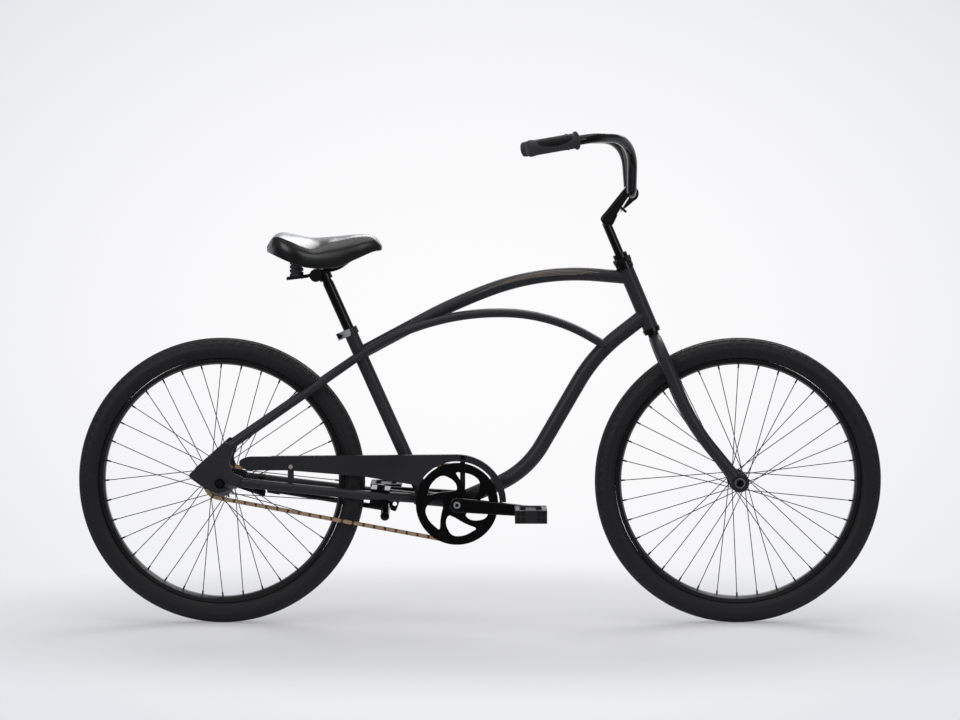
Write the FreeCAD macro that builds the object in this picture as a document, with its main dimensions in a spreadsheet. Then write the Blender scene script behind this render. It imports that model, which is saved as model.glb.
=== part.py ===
import FreeCAD, Part
import math
import os
import re
import Sketcher
from FreeCAD import Placement, Rotation, Vector

# Beach cruiser bicycle. X points forward, the drive side is -Y, Z is up,
# and the origin lies on the ground midway between the axles. Millimetres and degrees.

driving_sizes = [
    # Fits
    ("shaft_gap", 0.05), ("part_gap", 0.3), ("slip_gap", 0.1), ("hidden_length", 12),
    # Wheels
    ("wheelbase", 1202), ("bead_seat_d", 559), ("tyre_section", 54), ("tyre_wall", 3.5),
    ("bead_width", 3.6), ("bead_height", 8.5), ("bead_gap", 0.2), ("tube_wall", 1),
    ("rim_width", 32), ("rim_flange_height", 5.5), ("rim_side_wall", 2), ("rim_bed_width", 22),
    ("rim_well_width", 16), ("rim_well_depth", 4.5), ("rim_floor_wall", 3), ("rim_side_depth", 9),
    ("spoke_count", 36), ("spoke_crosses", 3), ("spoke_d", 2), ("spoke_head_d", 3.6),
    ("nipple_d", 4), ("nipple_length", 14), ("nipple_head", 2),
    # Hubs and axles
    ("axle_d", 10), ("cone_d", 17), ("flange_wall", 3), ("axle_nut_width", 15), ("axle_nut_height", 9),
    ("washer_d", 24), ("washer_wall", 2), ("axle_tail", 8), ("axle_tail_d", 9), ("locknut_wall", 2),
    ("front_hub_spacing", 100), ("front_flange_spacing", 58), ("front_flange_d", 46),
    ("front_hole_circle", 38), ("front_shell_d", 30), ("front_shell_length", 78),
    ("rear_hub_spacing", 110), ("rear_flange_spacing", 58), ("rear_flange_d", 66),
    ("rear_hole_circle", 57), ("rear_shell_d", 44), ("rear_shell_right", 37), ("rear_shell_left", 41),
    ("driver_d", 32), ("driver_end", 47.5),
    # Chain drive
    ("chain_pitch", 12.7), ("chain_links", 118), ("chainring_teeth", 44), ("sprocket_teeth", 18),
    ("chainline", 42), ("tooth_thickness", 3), ("tooth_rise", 3.5), ("tooth_tip", 1.6), ("roller_d", 7.75),
    ("roller_seat_d", 8.1), ("chain_pin_d", 3.6), ("link_plate_height", 8.4), ("link_plate_wall", 1),
    ("inner_link_width", 6.4), ("bottom_bracket_drop", 48.5),
    # Bottom bracket and cranks
    ("shell_d", 40), ("shell_width", 68), ("cup_d", 34), ("cup_flange_d", 41), ("cup_flange_wall", 3),
    ("cup_depth", 14), ("spindle_d", 17), ("crank_length", 170), ("crank_angle", -5),
    ("crank_hub_d", 34), ("crank_eye_d", 25), ("crank_thickness", 14), ("crank_inner", 64),
    ("crank_edge_round", 3), ("crank_bolt_d", 15), ("crank_bolt_wall", 2), ("crank_boss_d", 32),
    ("boss_gap", 0.5), ("ring_bolt_circle", 150), ("ring_bolt_count", 5), ("ring_bolt_d", 8),
    ("ring_bolt_head_d", 12),
    ("ring_bolt_head", 2.5), ("ring_bolt_angle", 29.5), ("spider_d", 191),
    ("spider_wall", 4), ("spider_inner", 48.5), ("window_inner_r", 31), ("window_outer_r", 76),
    ("ring_ear_d", 17),
    # Pedals
    ("pedal_axle_d", 10), ("pedal_axle_reach", 172), ("pedal_inner", 82), ("pedal_length", 95),
    ("pedal_depth", 73), ("pedal_height", 30), ("pedal_barrel_d", 24), ("pedal_rail", 12),
    ("pedal_end_wall", 10), ("pedal_corner", 8), ("reflector_length", 46), ("reflector_height", 13),
    ("reflector_wall", 3),
    # Steering and fork
    ("head_angle", 67), ("fork_offset", 49.4), ("fork_crown", 396), ("race_height", 4), ("race_d", 38),
    ("head_tube_d", 36.5), ("head_tube_length", 150), ("head_tube_wall", 3.1), ("headset_cup_d", 41),
    ("headset_cup_height", 7.7), ("headset_insert", 10), ("cone_height", 7.7), ("locknut_height", 22),
    ("locknut_width", 37), ("locknut_collar_d", 34),
    ("steerer_d", 25.4), ("steerer_wall", 2.1), ("steerer_tail", 31), ("blade_d", 28.6), ("blade_wall", 2),
    ("blade_spread", 50), ("blade_tuck", 17.2), ("blade_root_half", 8), ("blade_shoulder", 20),
    ("shoulder_bend", 45), ("blade_bend_drop", 192), ("blade_bend", 500), ("blade_stop", 18),
    ("fork_end_d", 43), ("fork_end_wall", 6),
    # Stem and handlebar
    ("quill_d", 21.1), ("quill_wall", 3.5), ("quill_depth", 110), ("stem_rise", 79), ("stem_reach", 86.7),
    ("stem_angle", 50), ("stem_width", 26), ("bar_clamp_d", 37), ("bar_clamp_width", 40),
    ("clamp_slot", 3), ("stem_edge_round", 6), ("expander_d", 8), ("expander_head_d", 14),
    ("wedge_height", 22), ("clamp_bolt_d", 6), ("expander_seat", 5), ("jaw_bolt_lift", 5),
    ("slot_splay", 8),
    ("bar_d", 22.2), ("bar_wall", 2), ("bar_centre_half", 60), ("bar_rise", 127), ("bar_sweep_half", 175),
    ("bar_lean", -3.6), ("bar_turn_half", 302), ("bar_turn_back", 95.6), ("bar_low_bend", 45),
    ("bar_high_bend", 170), ("bar_turn_bend", 100), ("grip_yaw", 18.6), ("grip_drop", 9.3),
    ("grip_start", 41), ("grip_length", 118), ("grip_d", 34), ("grip_flange_d", 41), ("grip_flange", 4),
    ("grip_cap_d", 36), ("grip_cap", 9),
    # Frame tubes
    ("top_tube_d", 30.5), ("tube_gauge", 2), ("top_tube_drop", 23.3), ("top_tube_rise_angle", 5),
    ("top_tube_front_run", 203.1), ("top_tube_mid_angle", 20.5), ("top_tube_mid_run", 215.7),
    ("top_tube_front_bend", 575), ("top_tube_rear_bend", 1205), ("top_tube_seat_drop", 61.4),
    ("down_tube_d", 36), ("down_tube_lift", 32.4), ("down_tube_angle", 38), ("down_tube_front_run", 149.2),
    ("down_tube_mid_angle", 60), ("down_tube_mid_run", 315.7), ("down_tube_front_bend", 374),
    ("down_tube_rear_bend", 217), ("bottom_tube_d", 32.5), ("bottom_tube_length", 100),
    ("seat_angle", 66), ("seat_tube_d", 31.8), ("seat_tube_length", 431.8), ("seat_tube_setback", 75.6),
    ("stay_d", 19), ("stay_gauge", 1.8), ("stay_start", 116), ("stay_front_half", 13),
    ("stay_front_angle", 30), ("stay_front_run", 153.3), ("stay_mid_half", 16), ("stay_mid_run", 296),
    ("stay_seat_half", 24.3), ("stay_front_bend", 417), ("stay_mid_bend", 590), ("stay_kink_bend", 120),
    ("stay_upper_kink", 336.5), ("stay_lower_kink", 233.3), ("stay_tyre_half", 45),
    ("stay_foot_forward", 24), ("stay_foot_up", 86.5), ("chainstay_d", 22), ("chainstay_start", 52),
    ("chainstay_start_half", 6), ("chainstay_kink", 238), ("chainstay_kink_half", 44),
    ("chainstay_bend", 150), ("chainstay_foot_forward", 50), ("chainstay_foot_up", 2),
    ("dropout_wall", 8), ("axle_slot_angle", 19),
    # Seat
    ("post_d", 25.4), ("post_wall", 2), ("post_depth", 120), ("post_exposed", 153), ("post_neck_d", 22.2),
    ("post_neck", 34), ("seat_collar_d", 38.4), ("seat_collar_height", 16), ("seat_collar_lip", 2),
    ("collar_ear_length", 13), ("collar_ear_wall", 4), ("collar_slot", 3), ("collar_bolt_d", 6),
    ("saddle_clamp_d", 32), ("saddle_clamp_height", 26), ("saddle_pivot_back", 17),
    ("saddle_pivot_down", 7), ("saddle_bolt_d", 8), ("saddle_lug_d", 24), ("rail_d", 7),
    ("rail_half", 22), ("rail_disc_d", 30), ("rail_disc_margin", 2), ("base_wall", 4.5),
    ("pad_lip", 8), ("pad_lip_height", 22),
    ("bumper_d", 26), ("bumper_half", 45), ("bumper_back", 46), ("bumper_plate_drop", 6),
    # Chain guard, brake arm and kickstand
    ("guard_wall", 1.5), ("guard_inner", 50), ("guard_arc_inner", 98.7), ("guard_arc_outer", 114),
    ("guard_lip", 12), ("strap_width", 12), ("strap_wall", 2.5), ("guard_screw_d", 5),
    ("guard_screw_head_d", 10), ("guard_tab_back", 386), ("guard_shelf_lift", 6.3),
    ("guard_tab_height", 7.5), ("guard_post_height", 58), ("strap_low", 8), ("brake_arm_wall", 3),
    ("brake_arm_width", 17), ("brake_arm_reach", 95), ("brake_arm_angle", 20.6), ("band_wall", 1.6),
    ("band_width", 14),
    ("kickstand_tyre_gap", 14.437), ("kickstand_plate_wall", 5), ("kickstand_plate_length", 44),
    ("kickstand_plate_half", 41), ("kickstand_head_depth", 12), ("kickstand_bolt_d", 10),
    ("kickstand_pivot_d", 10), ("kickstand_leg_d", 13), ("kickstand_leg_length", 280),
    ("kickstand_tilt", 15), ("kickstand_pivot_half", 42), ("kickstand_pivot_drop", 37),
    ("kickstand_pivot_ahead", 14), ("kickstand_yaw", 7.4), ("kickstand_lift", 8.3),
    ("kickstand_foot_d", 18), ("kickstand_foot_length", 30), ("kickstand_cheek", 17),
    ("kickstand_eye_margin", 2.5), ("kickstand_eye_wall", 2), ("kickstand_web_back", 2),
    ("kickstand_web_lift", 4), ("kickstand_pin_head", 2), ("kickstand_foot_wall", 4),
]

doc = FreeCAD.newDocument("beach_cruiser")
sheet = doc.addObject("Spreadsheet::Sheet", "Sizes")
for row, (alias, number) in enumerate(driving_sizes, start=1):
    sheet.set(f"A{row}", alias)
    sheet.set(f"B{row}", str(number))
    sheet.setAlias(f"B{row}", alias)
doc.recompute()
size_names = {alias for alias, number in driving_sizes}


class SheetValues:
    def __getattr__(self, alias):
        return float(sheet.get(alias))


dim = SheetValues()
axis_x = Vector(1, 0, 0)
axis_y = Vector(0, 1, 0)
axis_z = Vector(0, 0, 1)
# Local X and Y of a plate become world X and Z, and its thickness runs towards -Y.
side_view = Rotation(axis_x, 90)
nodes = {}


# Short expressions name sheet cells by their alias alone.
def bound(text):
    def cell(word):
        return f"Sizes.{word[0]}" if word[0] in size_names else word[0]

    return re.sub(r"[A-Za-z_]\w*", cell, text)


def worth(text):
    return float(sheet.evalExpression(bound(text)))


def bind(item, **expressions):
    for prop, text in expressions.items():
        item.setExpression(prop, bound(text))
    return item


def node(label, item):
    item.Label = label
    nodes[label] = item
    return item


# Part solids and booleans
def cylinder(name, radius, height, base, axis=axis_y):
    item = doc.addObject("Part::Cylinder", name)
    bind(item, Radius=radius, Height=height)
    item.Placement = Placement(base, Rotation(axis_z, axis))
    return item


def torus(name, major, minor, centre):
    item = doc.addObject("Part::Torus", name)
    bind(item, Radius1=major, Radius2=minor)
    item.Placement = Placement(centre, Rotation(axis_z, axis_y))
    return item


# A block stands on the middle of its bottom face and is turned about that point.
def block(name, length, width, height, base, rotation=Rotation()):
    item = bind(doc.addObject("Part::Box", name), Length=length, Width=width, Height=height)
    corner = Vector(-worth(length) / 2, -worth(width) / 2, 0)
    item.Placement = Placement(base + rotation.multVec(corner), rotation)
    return item


def hexagon(name, width, height, base, axis=axis_y):
    item = doc.addObject("Part::Prism", name)
    item.Polygon = 6
    bind(item, Circumradius=f"({width}) / sqrt(3)", Height=height)
    item.Placement = Placement(base, Rotation(axis_z, axis))
    return item


def fuse(name, *items):
    whole = doc.addObject("Part::MultiFuse", name + "_fuse")
    whole.Shapes = list(items)
    whole.Refine = True
    return whole


def cut(name, base, *tools):
    for tool in tools:
        rest = doc.addObject("Part::Cut", name + "_cut")
        rest.Base = base
        rest.Tool = tool
        base = rest
    return base


def group(name, *items):
    whole = doc.addObject("Part::Compound", name + "_group")
    whole.Links = list(items)
    return whole


def made(name, shape):
    item = doc.addObject("Part::Feature", name)
    item.Shape = shape
    return item


def ring(name, outer, inner, height, base, axis=axis_y):
    solid = cylinder(name + "_outer", outer, height, base, axis)
    return cut(name, solid, cylinder(name + "_bore", inner, height, base, axis))


# Straight runs with tangent arcs at the corners, each arc kept within its two runs
def rounded(points, radii, closed=False):
    run_share = 0.98
    count = len(points)
    corners = range(count) if closed else range(1, count - 1)
    turn = [0.0] * count
    reach = [0.0] * count
    for i in corners:
        turn[i] = (points[i] - points[i - 1]).getAngle(points[(i + 1) % count] - points[i])
        reach[i] = radii[i] * math.tan(turn[i] / 2)
    share = [1.0] * count
    for i in range(count if closed else count - 1):
        j = (i + 1) % count
        room = run_share * (points[j] - points[i]).Length
        if reach[i] + reach[j] > room:
            share[i] = min(share[i], room / (reach[i] + reach[j]))
            share[j] = min(share[j], room / (reach[i] + reach[j]))
    curves = []
    ends = []
    for i in range(count):
        tangent = reach[i] * share[i]
        if tangent < 1e-6:
            ends.append((points[i], points[i], None))
            continue
        into = (points[i] - points[i - 1]).normalize()
        out = (points[(i + 1) % count] - points[i]).normalize()
        radius = tangent / math.tan(turn[i] / 2)
        middle = points[i] + (out - into).normalize() * (radius / math.cos(turn[i] / 2) - radius)
        ends.append((points[i] - into * tangent, points[i] + out * tangent, middle))
    for i in range(count):
        first, last, middle = ends[i]
        if middle is not None:
            curves.append(Part.Arc(first, middle, last))
        if closed or i < count - 1:
            curves.append(Part.LineSegment(last, ends[(i + 1) % count][0]))
    return curves


# A round bar swept along a bent route
def bar(name, points, radii, radius):
    path = made(name + "_path", Part.Wire([curve.toShape() for curve in rounded(points, radii)]))
    circle = bind(doc.addObject("Part::Circle", name + "_circle"), Radius=radius)
    circle.Placement = Placement(points[0], Rotation(axis_z, points[1] - points[0]))
    sweep = doc.addObject("Part::Sweep", name + "_sweep")
    sweep.Sections = [circle]
    sweep.Spine = (path, [f"Edge{i + 1}" for i in range(len(path.Shape.Edges))])
    sweep.Solid = True
    return sweep


# A tube is a bar with its bore taken out; the bar is kept to cope its neighbours.
def tube(name, points, radii, diameter, wall):
    outside = bar(name + "_outside", points, radii, f"{diameter} / 2")
    inside = bar(name + "_inside", points, radii, f"{diameter} / 2 - {wall}")
    return cut(name, outside, inside), outside


# Sketched bodies
def sketch_on(body, role):
    sketch = body.newObject("Sketcher::SketchObject", body.Name + "_sketch")
    plane = [feature for feature in body.Origin.OriginFeatures if feature.Role == role][0]
    sketch.AttachmentSupport = (plane, [""])
    sketch.MapMode = "FlatFace"
    return sketch


def round_hole(sketch, centre, radius):
    index = sketch.addGeometry(Part.Circle(centre, axis_z, worth(radius)))
    row = sketch.addConstraint(Sketcher.Constraint("Radius", index, worth(radius)))
    sketch.renameConstraint(row, f"hole_{index}")
    sketch.setExpression(f"Constraints.hole_{index}", bound(radius))


# A plate is padded from loops of curves and round holes, with its two faces' edges rounded if asked.
def plate(name, loops, holes, thickness, base, rotation=side_view, edge_round=None):
    body = doc.addObject("PartDesign::Body", name + "_body")
    sketch = sketch_on(body, "XY_Plane")
    for loop in loops:
        for curve in loop:
            sketch.addGeometry(curve)
    for centre, radius in holes:
        round_hole(sketch, centre, radius)
    pad = body.newObject("PartDesign::Pad", name + "_pad")
    pad.Profile = sketch
    bind(pad, Length=thickness)
    body.Tip = pad
    if edge_round:
        doc.recompute()
        flat = [face for face in pad.Shape.Faces if abs(face.normalAt(0, 0).z) > 0.999]
        rims = [edge for face in flat for edge in face.OuterWire.Edges]
        chosen = [
            i for i, edge in enumerate(pad.Shape.Edges, start=1) if any(edge.isSame(rim) for rim in rims)
        ]
        fillet = body.newObject("PartDesign::Fillet", name + "_fillet")
        fillet.Base = (pad, [f"Edge{i}" for i in chosen])
        bind(fillet, Radius=edge_round)
        body.Tip = fillet
    body.Placement = Placement(base, rotation)
    return body


# A turned piece: its profile holds (along, radius) pairs as expressions, turned about local Z.
def turned(name, profile, base, axis=axis_y):
    body = doc.addObject("PartDesign::Body", name + "_body")
    sketch = sketch_on(body, "XZ_Plane")
    count = len(profile)
    corners = [Vector(worth(radius), worth(along), 0) for along, radius in profile]
    for i in range(count):
        sketch.addGeometry(Part.LineSegment(corners[i], corners[(i + 1) % count]))
    for i, (along, radius) in enumerate(profile):
        sketch.addConstraint(Sketcher.Constraint("Coincident", i, 2, (i + 1) % count, 1))
        for kind, text in (("DistanceX", radius), ("DistanceY", along)):
            row = sketch.addConstraint(Sketcher.Constraint(kind, -1, 1, i, 1, worth(text)))
            sketch.renameConstraint(row, f"{kind}_{i}")
            sketch.setExpression(f"Constraints.{kind}_{i}", bound(text))
    turn = body.newObject("PartDesign::Revolution", name + "_turn")
    turn.Profile = sketch
    turn.ReferenceAxis = (sketch, ["V_Axis"])
    turn.Angle = 360
    body.Tip = turn
    body.Placement = Placement(base, Rotation(axis_z, axis))
    return body


def flat_points(pairs):
    return [Vector(x, y, 0) for x, y in pairs]


def polar(radius, degrees):
    return Vector(radius * math.cos(math.radians(degrees)), radius * math.sin(math.radians(degrees)), 0)


# A direction in the side view, in degrees above straight ahead
def heading(degrees):
    return Vector(math.cos(math.radians(degrees)), 0, math.sin(math.radians(degrees)))


def at_side(point, y):
    return Vector(point.x, y, point.z)


# Layout: the axles first, then the bottom bracket at the distance that fits the chain
wheel_r = dim.bead_seat_d / 2 + dim.tyre_section
front_axle_point = Vector(dim.wheelbase / 2, 0, wheel_r)
rear_axle_point = Vector(-dim.wheelbase / 2, 0, wheel_r)


def pitch_radius(teeth):
    return dim.chain_pitch / (2 * math.sin(math.pi / teeth))


ring_r = pitch_radius(dim.chainring_teeth)
sprocket_r = pitch_radius(dim.sprocket_teeth)


# The chain's stretches in pitches, for a centre distance: span, ring arc and sprocket arc
def chain_stretches(distance):
    lean = math.asin((ring_r - sprocket_r) / distance)
    span = distance * math.cos(lean) / dim.chain_pitch
    ring_arc = dim.chainring_teeth * (0.5 + lean / math.pi)
    sprocket_arc = dim.sprocket_teeth * (0.5 - lean / math.pi)
    return lean, span, ring_arc, sprocket_arc


def fitted_distance():
    low = ring_r + sprocket_r
    high = dim.chain_links * dim.chain_pitch
    for step in range(80):
        middle = (low + high) / 2
        lean, span, ring_arc, sprocket_arc = chain_stretches(middle)
        if 2 * span + ring_arc + sprocket_arc > dim.chain_links:
            high = middle
        else:
            low = middle
    return (low + high) / 2


centre_distance = fitted_distance()
crank_axis = Vector(
    rear_axle_point.x + math.sqrt(centre_distance ** 2 - dim.bottom_bracket_drop ** 2),
    0,
    wheel_r - dim.bottom_bracket_drop,
)
along_stays = (rear_axle_point - crank_axis).normalize()
chain_lean, chain_span, ring_arc, sprocket_arc = chain_stretches(centre_distance)
drive_tilt = math.atan2(-along_stays.z, -along_stays.x)


# The centre of a roller, by its distance along the chain in pitches from the sprocket's top
def roller_centre(place):
    if place < chain_span:
        start = polar(sprocket_r, math.degrees(math.pi / 2 + chain_lean + drive_tilt))
        way = polar(place * dim.chain_pitch, math.degrees(chain_lean + drive_tilt))
        flat, centre = start + way, rear_axle_point
    elif place < chain_span + ring_arc:
        turned_by = (place - chain_span) * 2 * math.pi / dim.chainring_teeth
        flat = polar(ring_r, math.degrees(math.pi / 2 + chain_lean + drive_tilt - turned_by))
        centre = crank_axis
    elif place < 2 * chain_span + ring_arc:
        start = polar(ring_r, math.degrees(-math.pi / 2 - chain_lean + drive_tilt))
        back = math.degrees(math.pi - chain_lean + drive_tilt)
        way = polar((place - chain_span - ring_arc) * dim.chain_pitch, back)
        flat, centre = start + way, crank_axis
    else:
        turned_by = (place - 2 * chain_span - ring_arc) * 2 * math.pi / dim.sprocket_teeth
        flat = polar(sprocket_r, math.degrees(-math.pi / 2 - chain_lean + drive_tilt - turned_by))
        centre = rear_axle_point
    return Vector(centre.x + flat.x, -dim.chainline, centre.z + flat.y)


# Roller angles on each toothed wheel, in degrees
def roller_angle(place, centre):
    way = roller_centre(place) - centre
    return math.degrees(math.atan2(way.z, way.x))


ring_phase = roller_angle(math.ceil(chain_span), crank_axis)
sprocket_phase = roller_angle(math.ceil(2 * chain_span + ring_arc), rear_axle_point)


# Wheels
rim_top = "bead_seat_d / 2 + rim_flange_height"
rim_seat = "bead_seat_d / 2"
rim_well = "bead_seat_d / 2 - rim_well_depth"
rim_floor = "bead_seat_d / 2 - rim_well_depth - rim_floor_wall"
rim_inside = "rim_width / 2 - rim_side_wall"
bead_inside = "rim_width / 2 - rim_side_wall - bead_gap - bead_width"
carcass_major = "bead_seat_d / 2 + tyre_section / 2"


# A spoke on a flange's outer face stands off far enough to clear the flange's rim on its way in.
def spoke_layout(side, lay, spacing, hole_circle, flange_d):
    per_flange = dim.spoke_count / 2
    step = 360 / per_flange
    first = 0 if lay > 0 else step
    shift = step / 2 if side < 0 else 0
    hub_angle = first + shift
    rim_angle = hub_angle + lay * dim.spoke_crosses * 360 / per_flange
    over_flange = math.sqrt((flange_d / 2) ** 2 - (hole_circle / 2) ** 2) + dim.spoke_d
    stand_off = over_flange * spacing / dim.bead_seat_d if lay > 0 else 0
    offset = dim.flange_wall / 2 + dim.spoke_d / 2 + dim.slip_gap + stand_off
    start = polar(hole_circle / 2, hub_angle)
    finish = polar(worth(rim_floor) + dim.rim_floor_wall / 2, rim_angle)
    start = Vector(start.x, side * (spacing / 2 + lay * offset), start.y)
    elbow = offset + dim.spoke_d / 2 + dim.flange_wall / 2 + dim.slip_gap + dim.spoke_d / 2
    return start, Vector(finish.x, 0, finish.y), -side * lay, elbow


# Every spoke about the wheel's centre: four kinds, each turned round by two flange steps
def for_each_spoke(make, spacing, hole_circle, flange_d):
    copies = int(dim.spoke_count / 4)
    shapes = []
    for side in (1, -1):
        for lay in (1, -1):
            master = make(*spoke_layout(side, lay, spacing, hole_circle, flange_d))
            for turn in range(copies):
                shape = master.copy()
                shape.rotate(Vector(), axis_y, turn * 360 / copies)
                shapes.append(shape)
    return Part.makeCompound(shapes)


nipple_inside = dim.rim_floor_wall / 2 + dim.nipple_head


def spoke_shape(start, finish, head_way, elbow):
    way = (finish - start).normalize()
    neck = finish - way * (dim.nipple_length - nipple_inside)
    head_wall = dim.spoke_d / 2
    tail = start - axis_y * head_way * dim.spoke_d / 2
    wire = Part.makeCylinder(dim.spoke_d / 2, (neck - start).Length + head_wall, start, way)
    pin = Part.makeCylinder(dim.spoke_d / 2, elbow, tail, axis_y * head_way)
    head_base = tail + axis_y * head_way * (elbow - head_wall)
    head = Part.makeCylinder(dim.spoke_head_d / 2, head_wall, head_base, axis_y * head_way)
    nipple = Part.makeCylinder(dim.nipple_d / 2, dim.nipple_length, neck, way)
    return wire.fuse([pin, head, nipple])


def rim_hole_shape(start, finish, head_way, elbow):
    way = (finish - start).normalize()
    radius = dim.nipple_d / 2 + dim.slip_gap
    return Part.makeCylinder(radius, 2 * dim.nipple_length, finish - way * dim.nipple_length, way)


def flange_hole_shape(start, finish, head_way, elbow):
    radius = dim.spoke_d / 2 + dim.slip_gap
    length = 8 * dim.flange_wall
    return Part.makeCylinder(radius, length, start - axis_y * length / 2, axis_y)


def wheel(prefix, centre, hub_right, hub_left):
    spacing = f"{prefix}_flange_spacing"
    lacing = (worth(spacing), worth(f"{prefix}_hole_circle"), worth(f"{prefix}_flange_d"))
    place = Placement(centre, Rotation())
    hub_start = centre - axis_y * worth(hub_right)
    hub_length = f"{hub_right} + {hub_left}"
    shell = cylinder(prefix + "_shell", f"{prefix}_shell_d / 2", hub_length, hub_start)
    flanges = [
        cylinder(f"{prefix}_flange", f"{prefix}_flange_d / 2", "flange_wall",
                 centre + axis_y * (side * worth(spacing) / 2 - dim.flange_wall / 2))
        for side in (1, -1)
    ]
    flange_holes = made(prefix + "_flange_holes", for_each_spoke(flange_hole_shape, *lacing))
    flange_holes.Placement = place
    bore = cylinder(prefix + "_hub_bore", "axle_d / 2 + shaft_gap", hub_length, hub_start)
    node(prefix + "_hub", cut(prefix + "_hub", fuse(prefix + "_hub", shell, *flanges), bore, flange_holes))

    spokes = made(prefix + "_spoke_set", for_each_spoke(spoke_shape, *lacing))
    spokes.Placement = place
    node(prefix + "_spokes", spokes)

    flank = "bead_seat_d / 2 + rim_flange_height - rim_side_depth"
    section = [
        ("rim_width / 2", rim_top), (rim_inside, rim_top), (rim_inside, rim_seat),
        ("rim_bed_width / 2", rim_seat), ("rim_well_width / 2", rim_well),
        ("-rim_well_width / 2", rim_well), ("-rim_bed_width / 2", rim_seat),
        (f"-({rim_inside})", rim_seat), (f"-({rim_inside})", rim_top), ("-rim_width / 2", rim_top),
        ("-rim_width / 2", flank), ("-rim_well_width / 2", rim_floor), ("rim_well_width / 2", rim_floor),
        ("rim_width / 2", flank),
    ]
    hoop = turned(prefix + "_hoop", section, centre)
    rim_holes = made(prefix + "_rim_holes", for_each_spoke(rim_hole_shape, *lacing))
    rim_holes.Placement = place
    node(prefix + "_rim", cut(prefix + "_rim", hoop, rim_holes))

    carcass = torus(prefix + "_carcass", carcass_major, "tyre_section / 2", centre)
    hollow = torus(prefix + "_hollow", carcass_major, "tyre_section / 2 - tyre_wall", centre)
    opening = cylinder(
        prefix + "_tyre_opening", f"{rim_top} + bead_gap", "2 * tyre_section",
        centre - axis_y * dim.tyre_section,
    )
    beads = [
        ring(f"{prefix}_bead", f"{rim_seat} + bead_height", f"{rim_seat} + bead_gap", "bead_width",
             centre + axis_y * start)
        for start in (worth(bead_inside), -worth(bead_inside) - dim.bead_width)
    ]
    walls = cut(prefix + "_walls", carcass, hollow, opening)
    node(prefix + "_tyre", fuse(prefix + "_tyre", walls, *beads))

    rise = f"({carcass_major} - {rim_seat} - bead_height)"
    beside_beads = f"sqrt({rise} * {rise} + ({bead_inside}) * ({bead_inside}))"
    fill = f"min({beside_beads}; tyre_section / 2 - tyre_wall) - part_gap"
    air = torus(prefix + "_air", carcass_major, f"{fill} - tube_wall", centre)
    skin = torus(prefix + "_skin", carcass_major, fill, centre)
    node(prefix + "_inner_tube", cut(prefix + "_inner_tube", skin, air))


wheel("front", front_axle_point, "front_shell_length / 2", "front_shell_length / 2")
wheel("rear", rear_axle_point, "rear_shell_right", "rear_shell_left")


# A hexagon nut over a washer on an axle end, from its seat outwards
def axle_nut(name, seat, out):
    bore = "axle_d / 2 + shaft_gap"
    washer = ring(name + "_washer", "washer_d / 2", bore, "washer_wall", seat, out)
    nut_base = seat + out * dim.washer_wall
    nut = hexagon(name + "_nut", "axle_nut_width", "axle_nut_height", nut_base, out)
    return washer, cut(name, nut, cylinder(name + "_thread", bore, "axle_nut_height", nut_base, out))


# An axle's shaft with a thinner free end past each nut
def axle_shaft(name, centre, half):
    shaft = cylinder(name, "axle_d / 2", f"2 * ({half})", centre - axis_y * worth(half))
    tails = [
        cylinder(
            name + "_tail", "axle_tail_d / 2", "axle_tail", centre + axis_y * side * worth(half),
            axis_y * side,
        )
        for side in (1, -1)
    ]
    return [shaft] + tails


# Rear axle with its cone and locknuts between the dropouts
rear_seat = dim.rear_hub_spacing / 2 + dim.dropout_wall
rear_half = "rear_hub_spacing / 2 + dropout_wall + washer_wall + axle_nut_height"
left_cone_start = dim.rear_shell_left + dim.part_gap
brake_arm_inner = dim.rear_hub_spacing / 2 - dim.brake_arm_wall - dim.locknut_wall
rear_shaft = axle_shaft("rear_shaft", rear_axle_point, rear_half)
left_cone = cylinder(
    "rear_left_cone", "cone_d / 2",
    "rear_hub_spacing / 2 - brake_arm_wall - locknut_wall - rear_shell_left - part_gap",
    rear_axle_point + axis_y * left_cone_start,
)
left_locknut = cylinder(
    "rear_left_locknut", "cone_d / 2", "locknut_wall",
    rear_axle_point + axis_y * (brake_arm_inner + dim.brake_arm_wall),
)
right_cone = cylinder(
    "rear_right_cone", "cone_d / 2", "rear_hub_spacing / 2 - driver_end - part_gap",
    rear_axle_point - axis_y * dim.rear_hub_spacing / 2,
)
node("rear_axle", fuse("rear_axle", *rear_shaft, left_cone, left_locknut, right_cone))
rear_nuts = [
    solid for side in (1, -1)
    for solid in axle_nut("rear_axle_nut", rear_axle_point + axis_y * side * rear_seat, axis_y * side)
]


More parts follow.
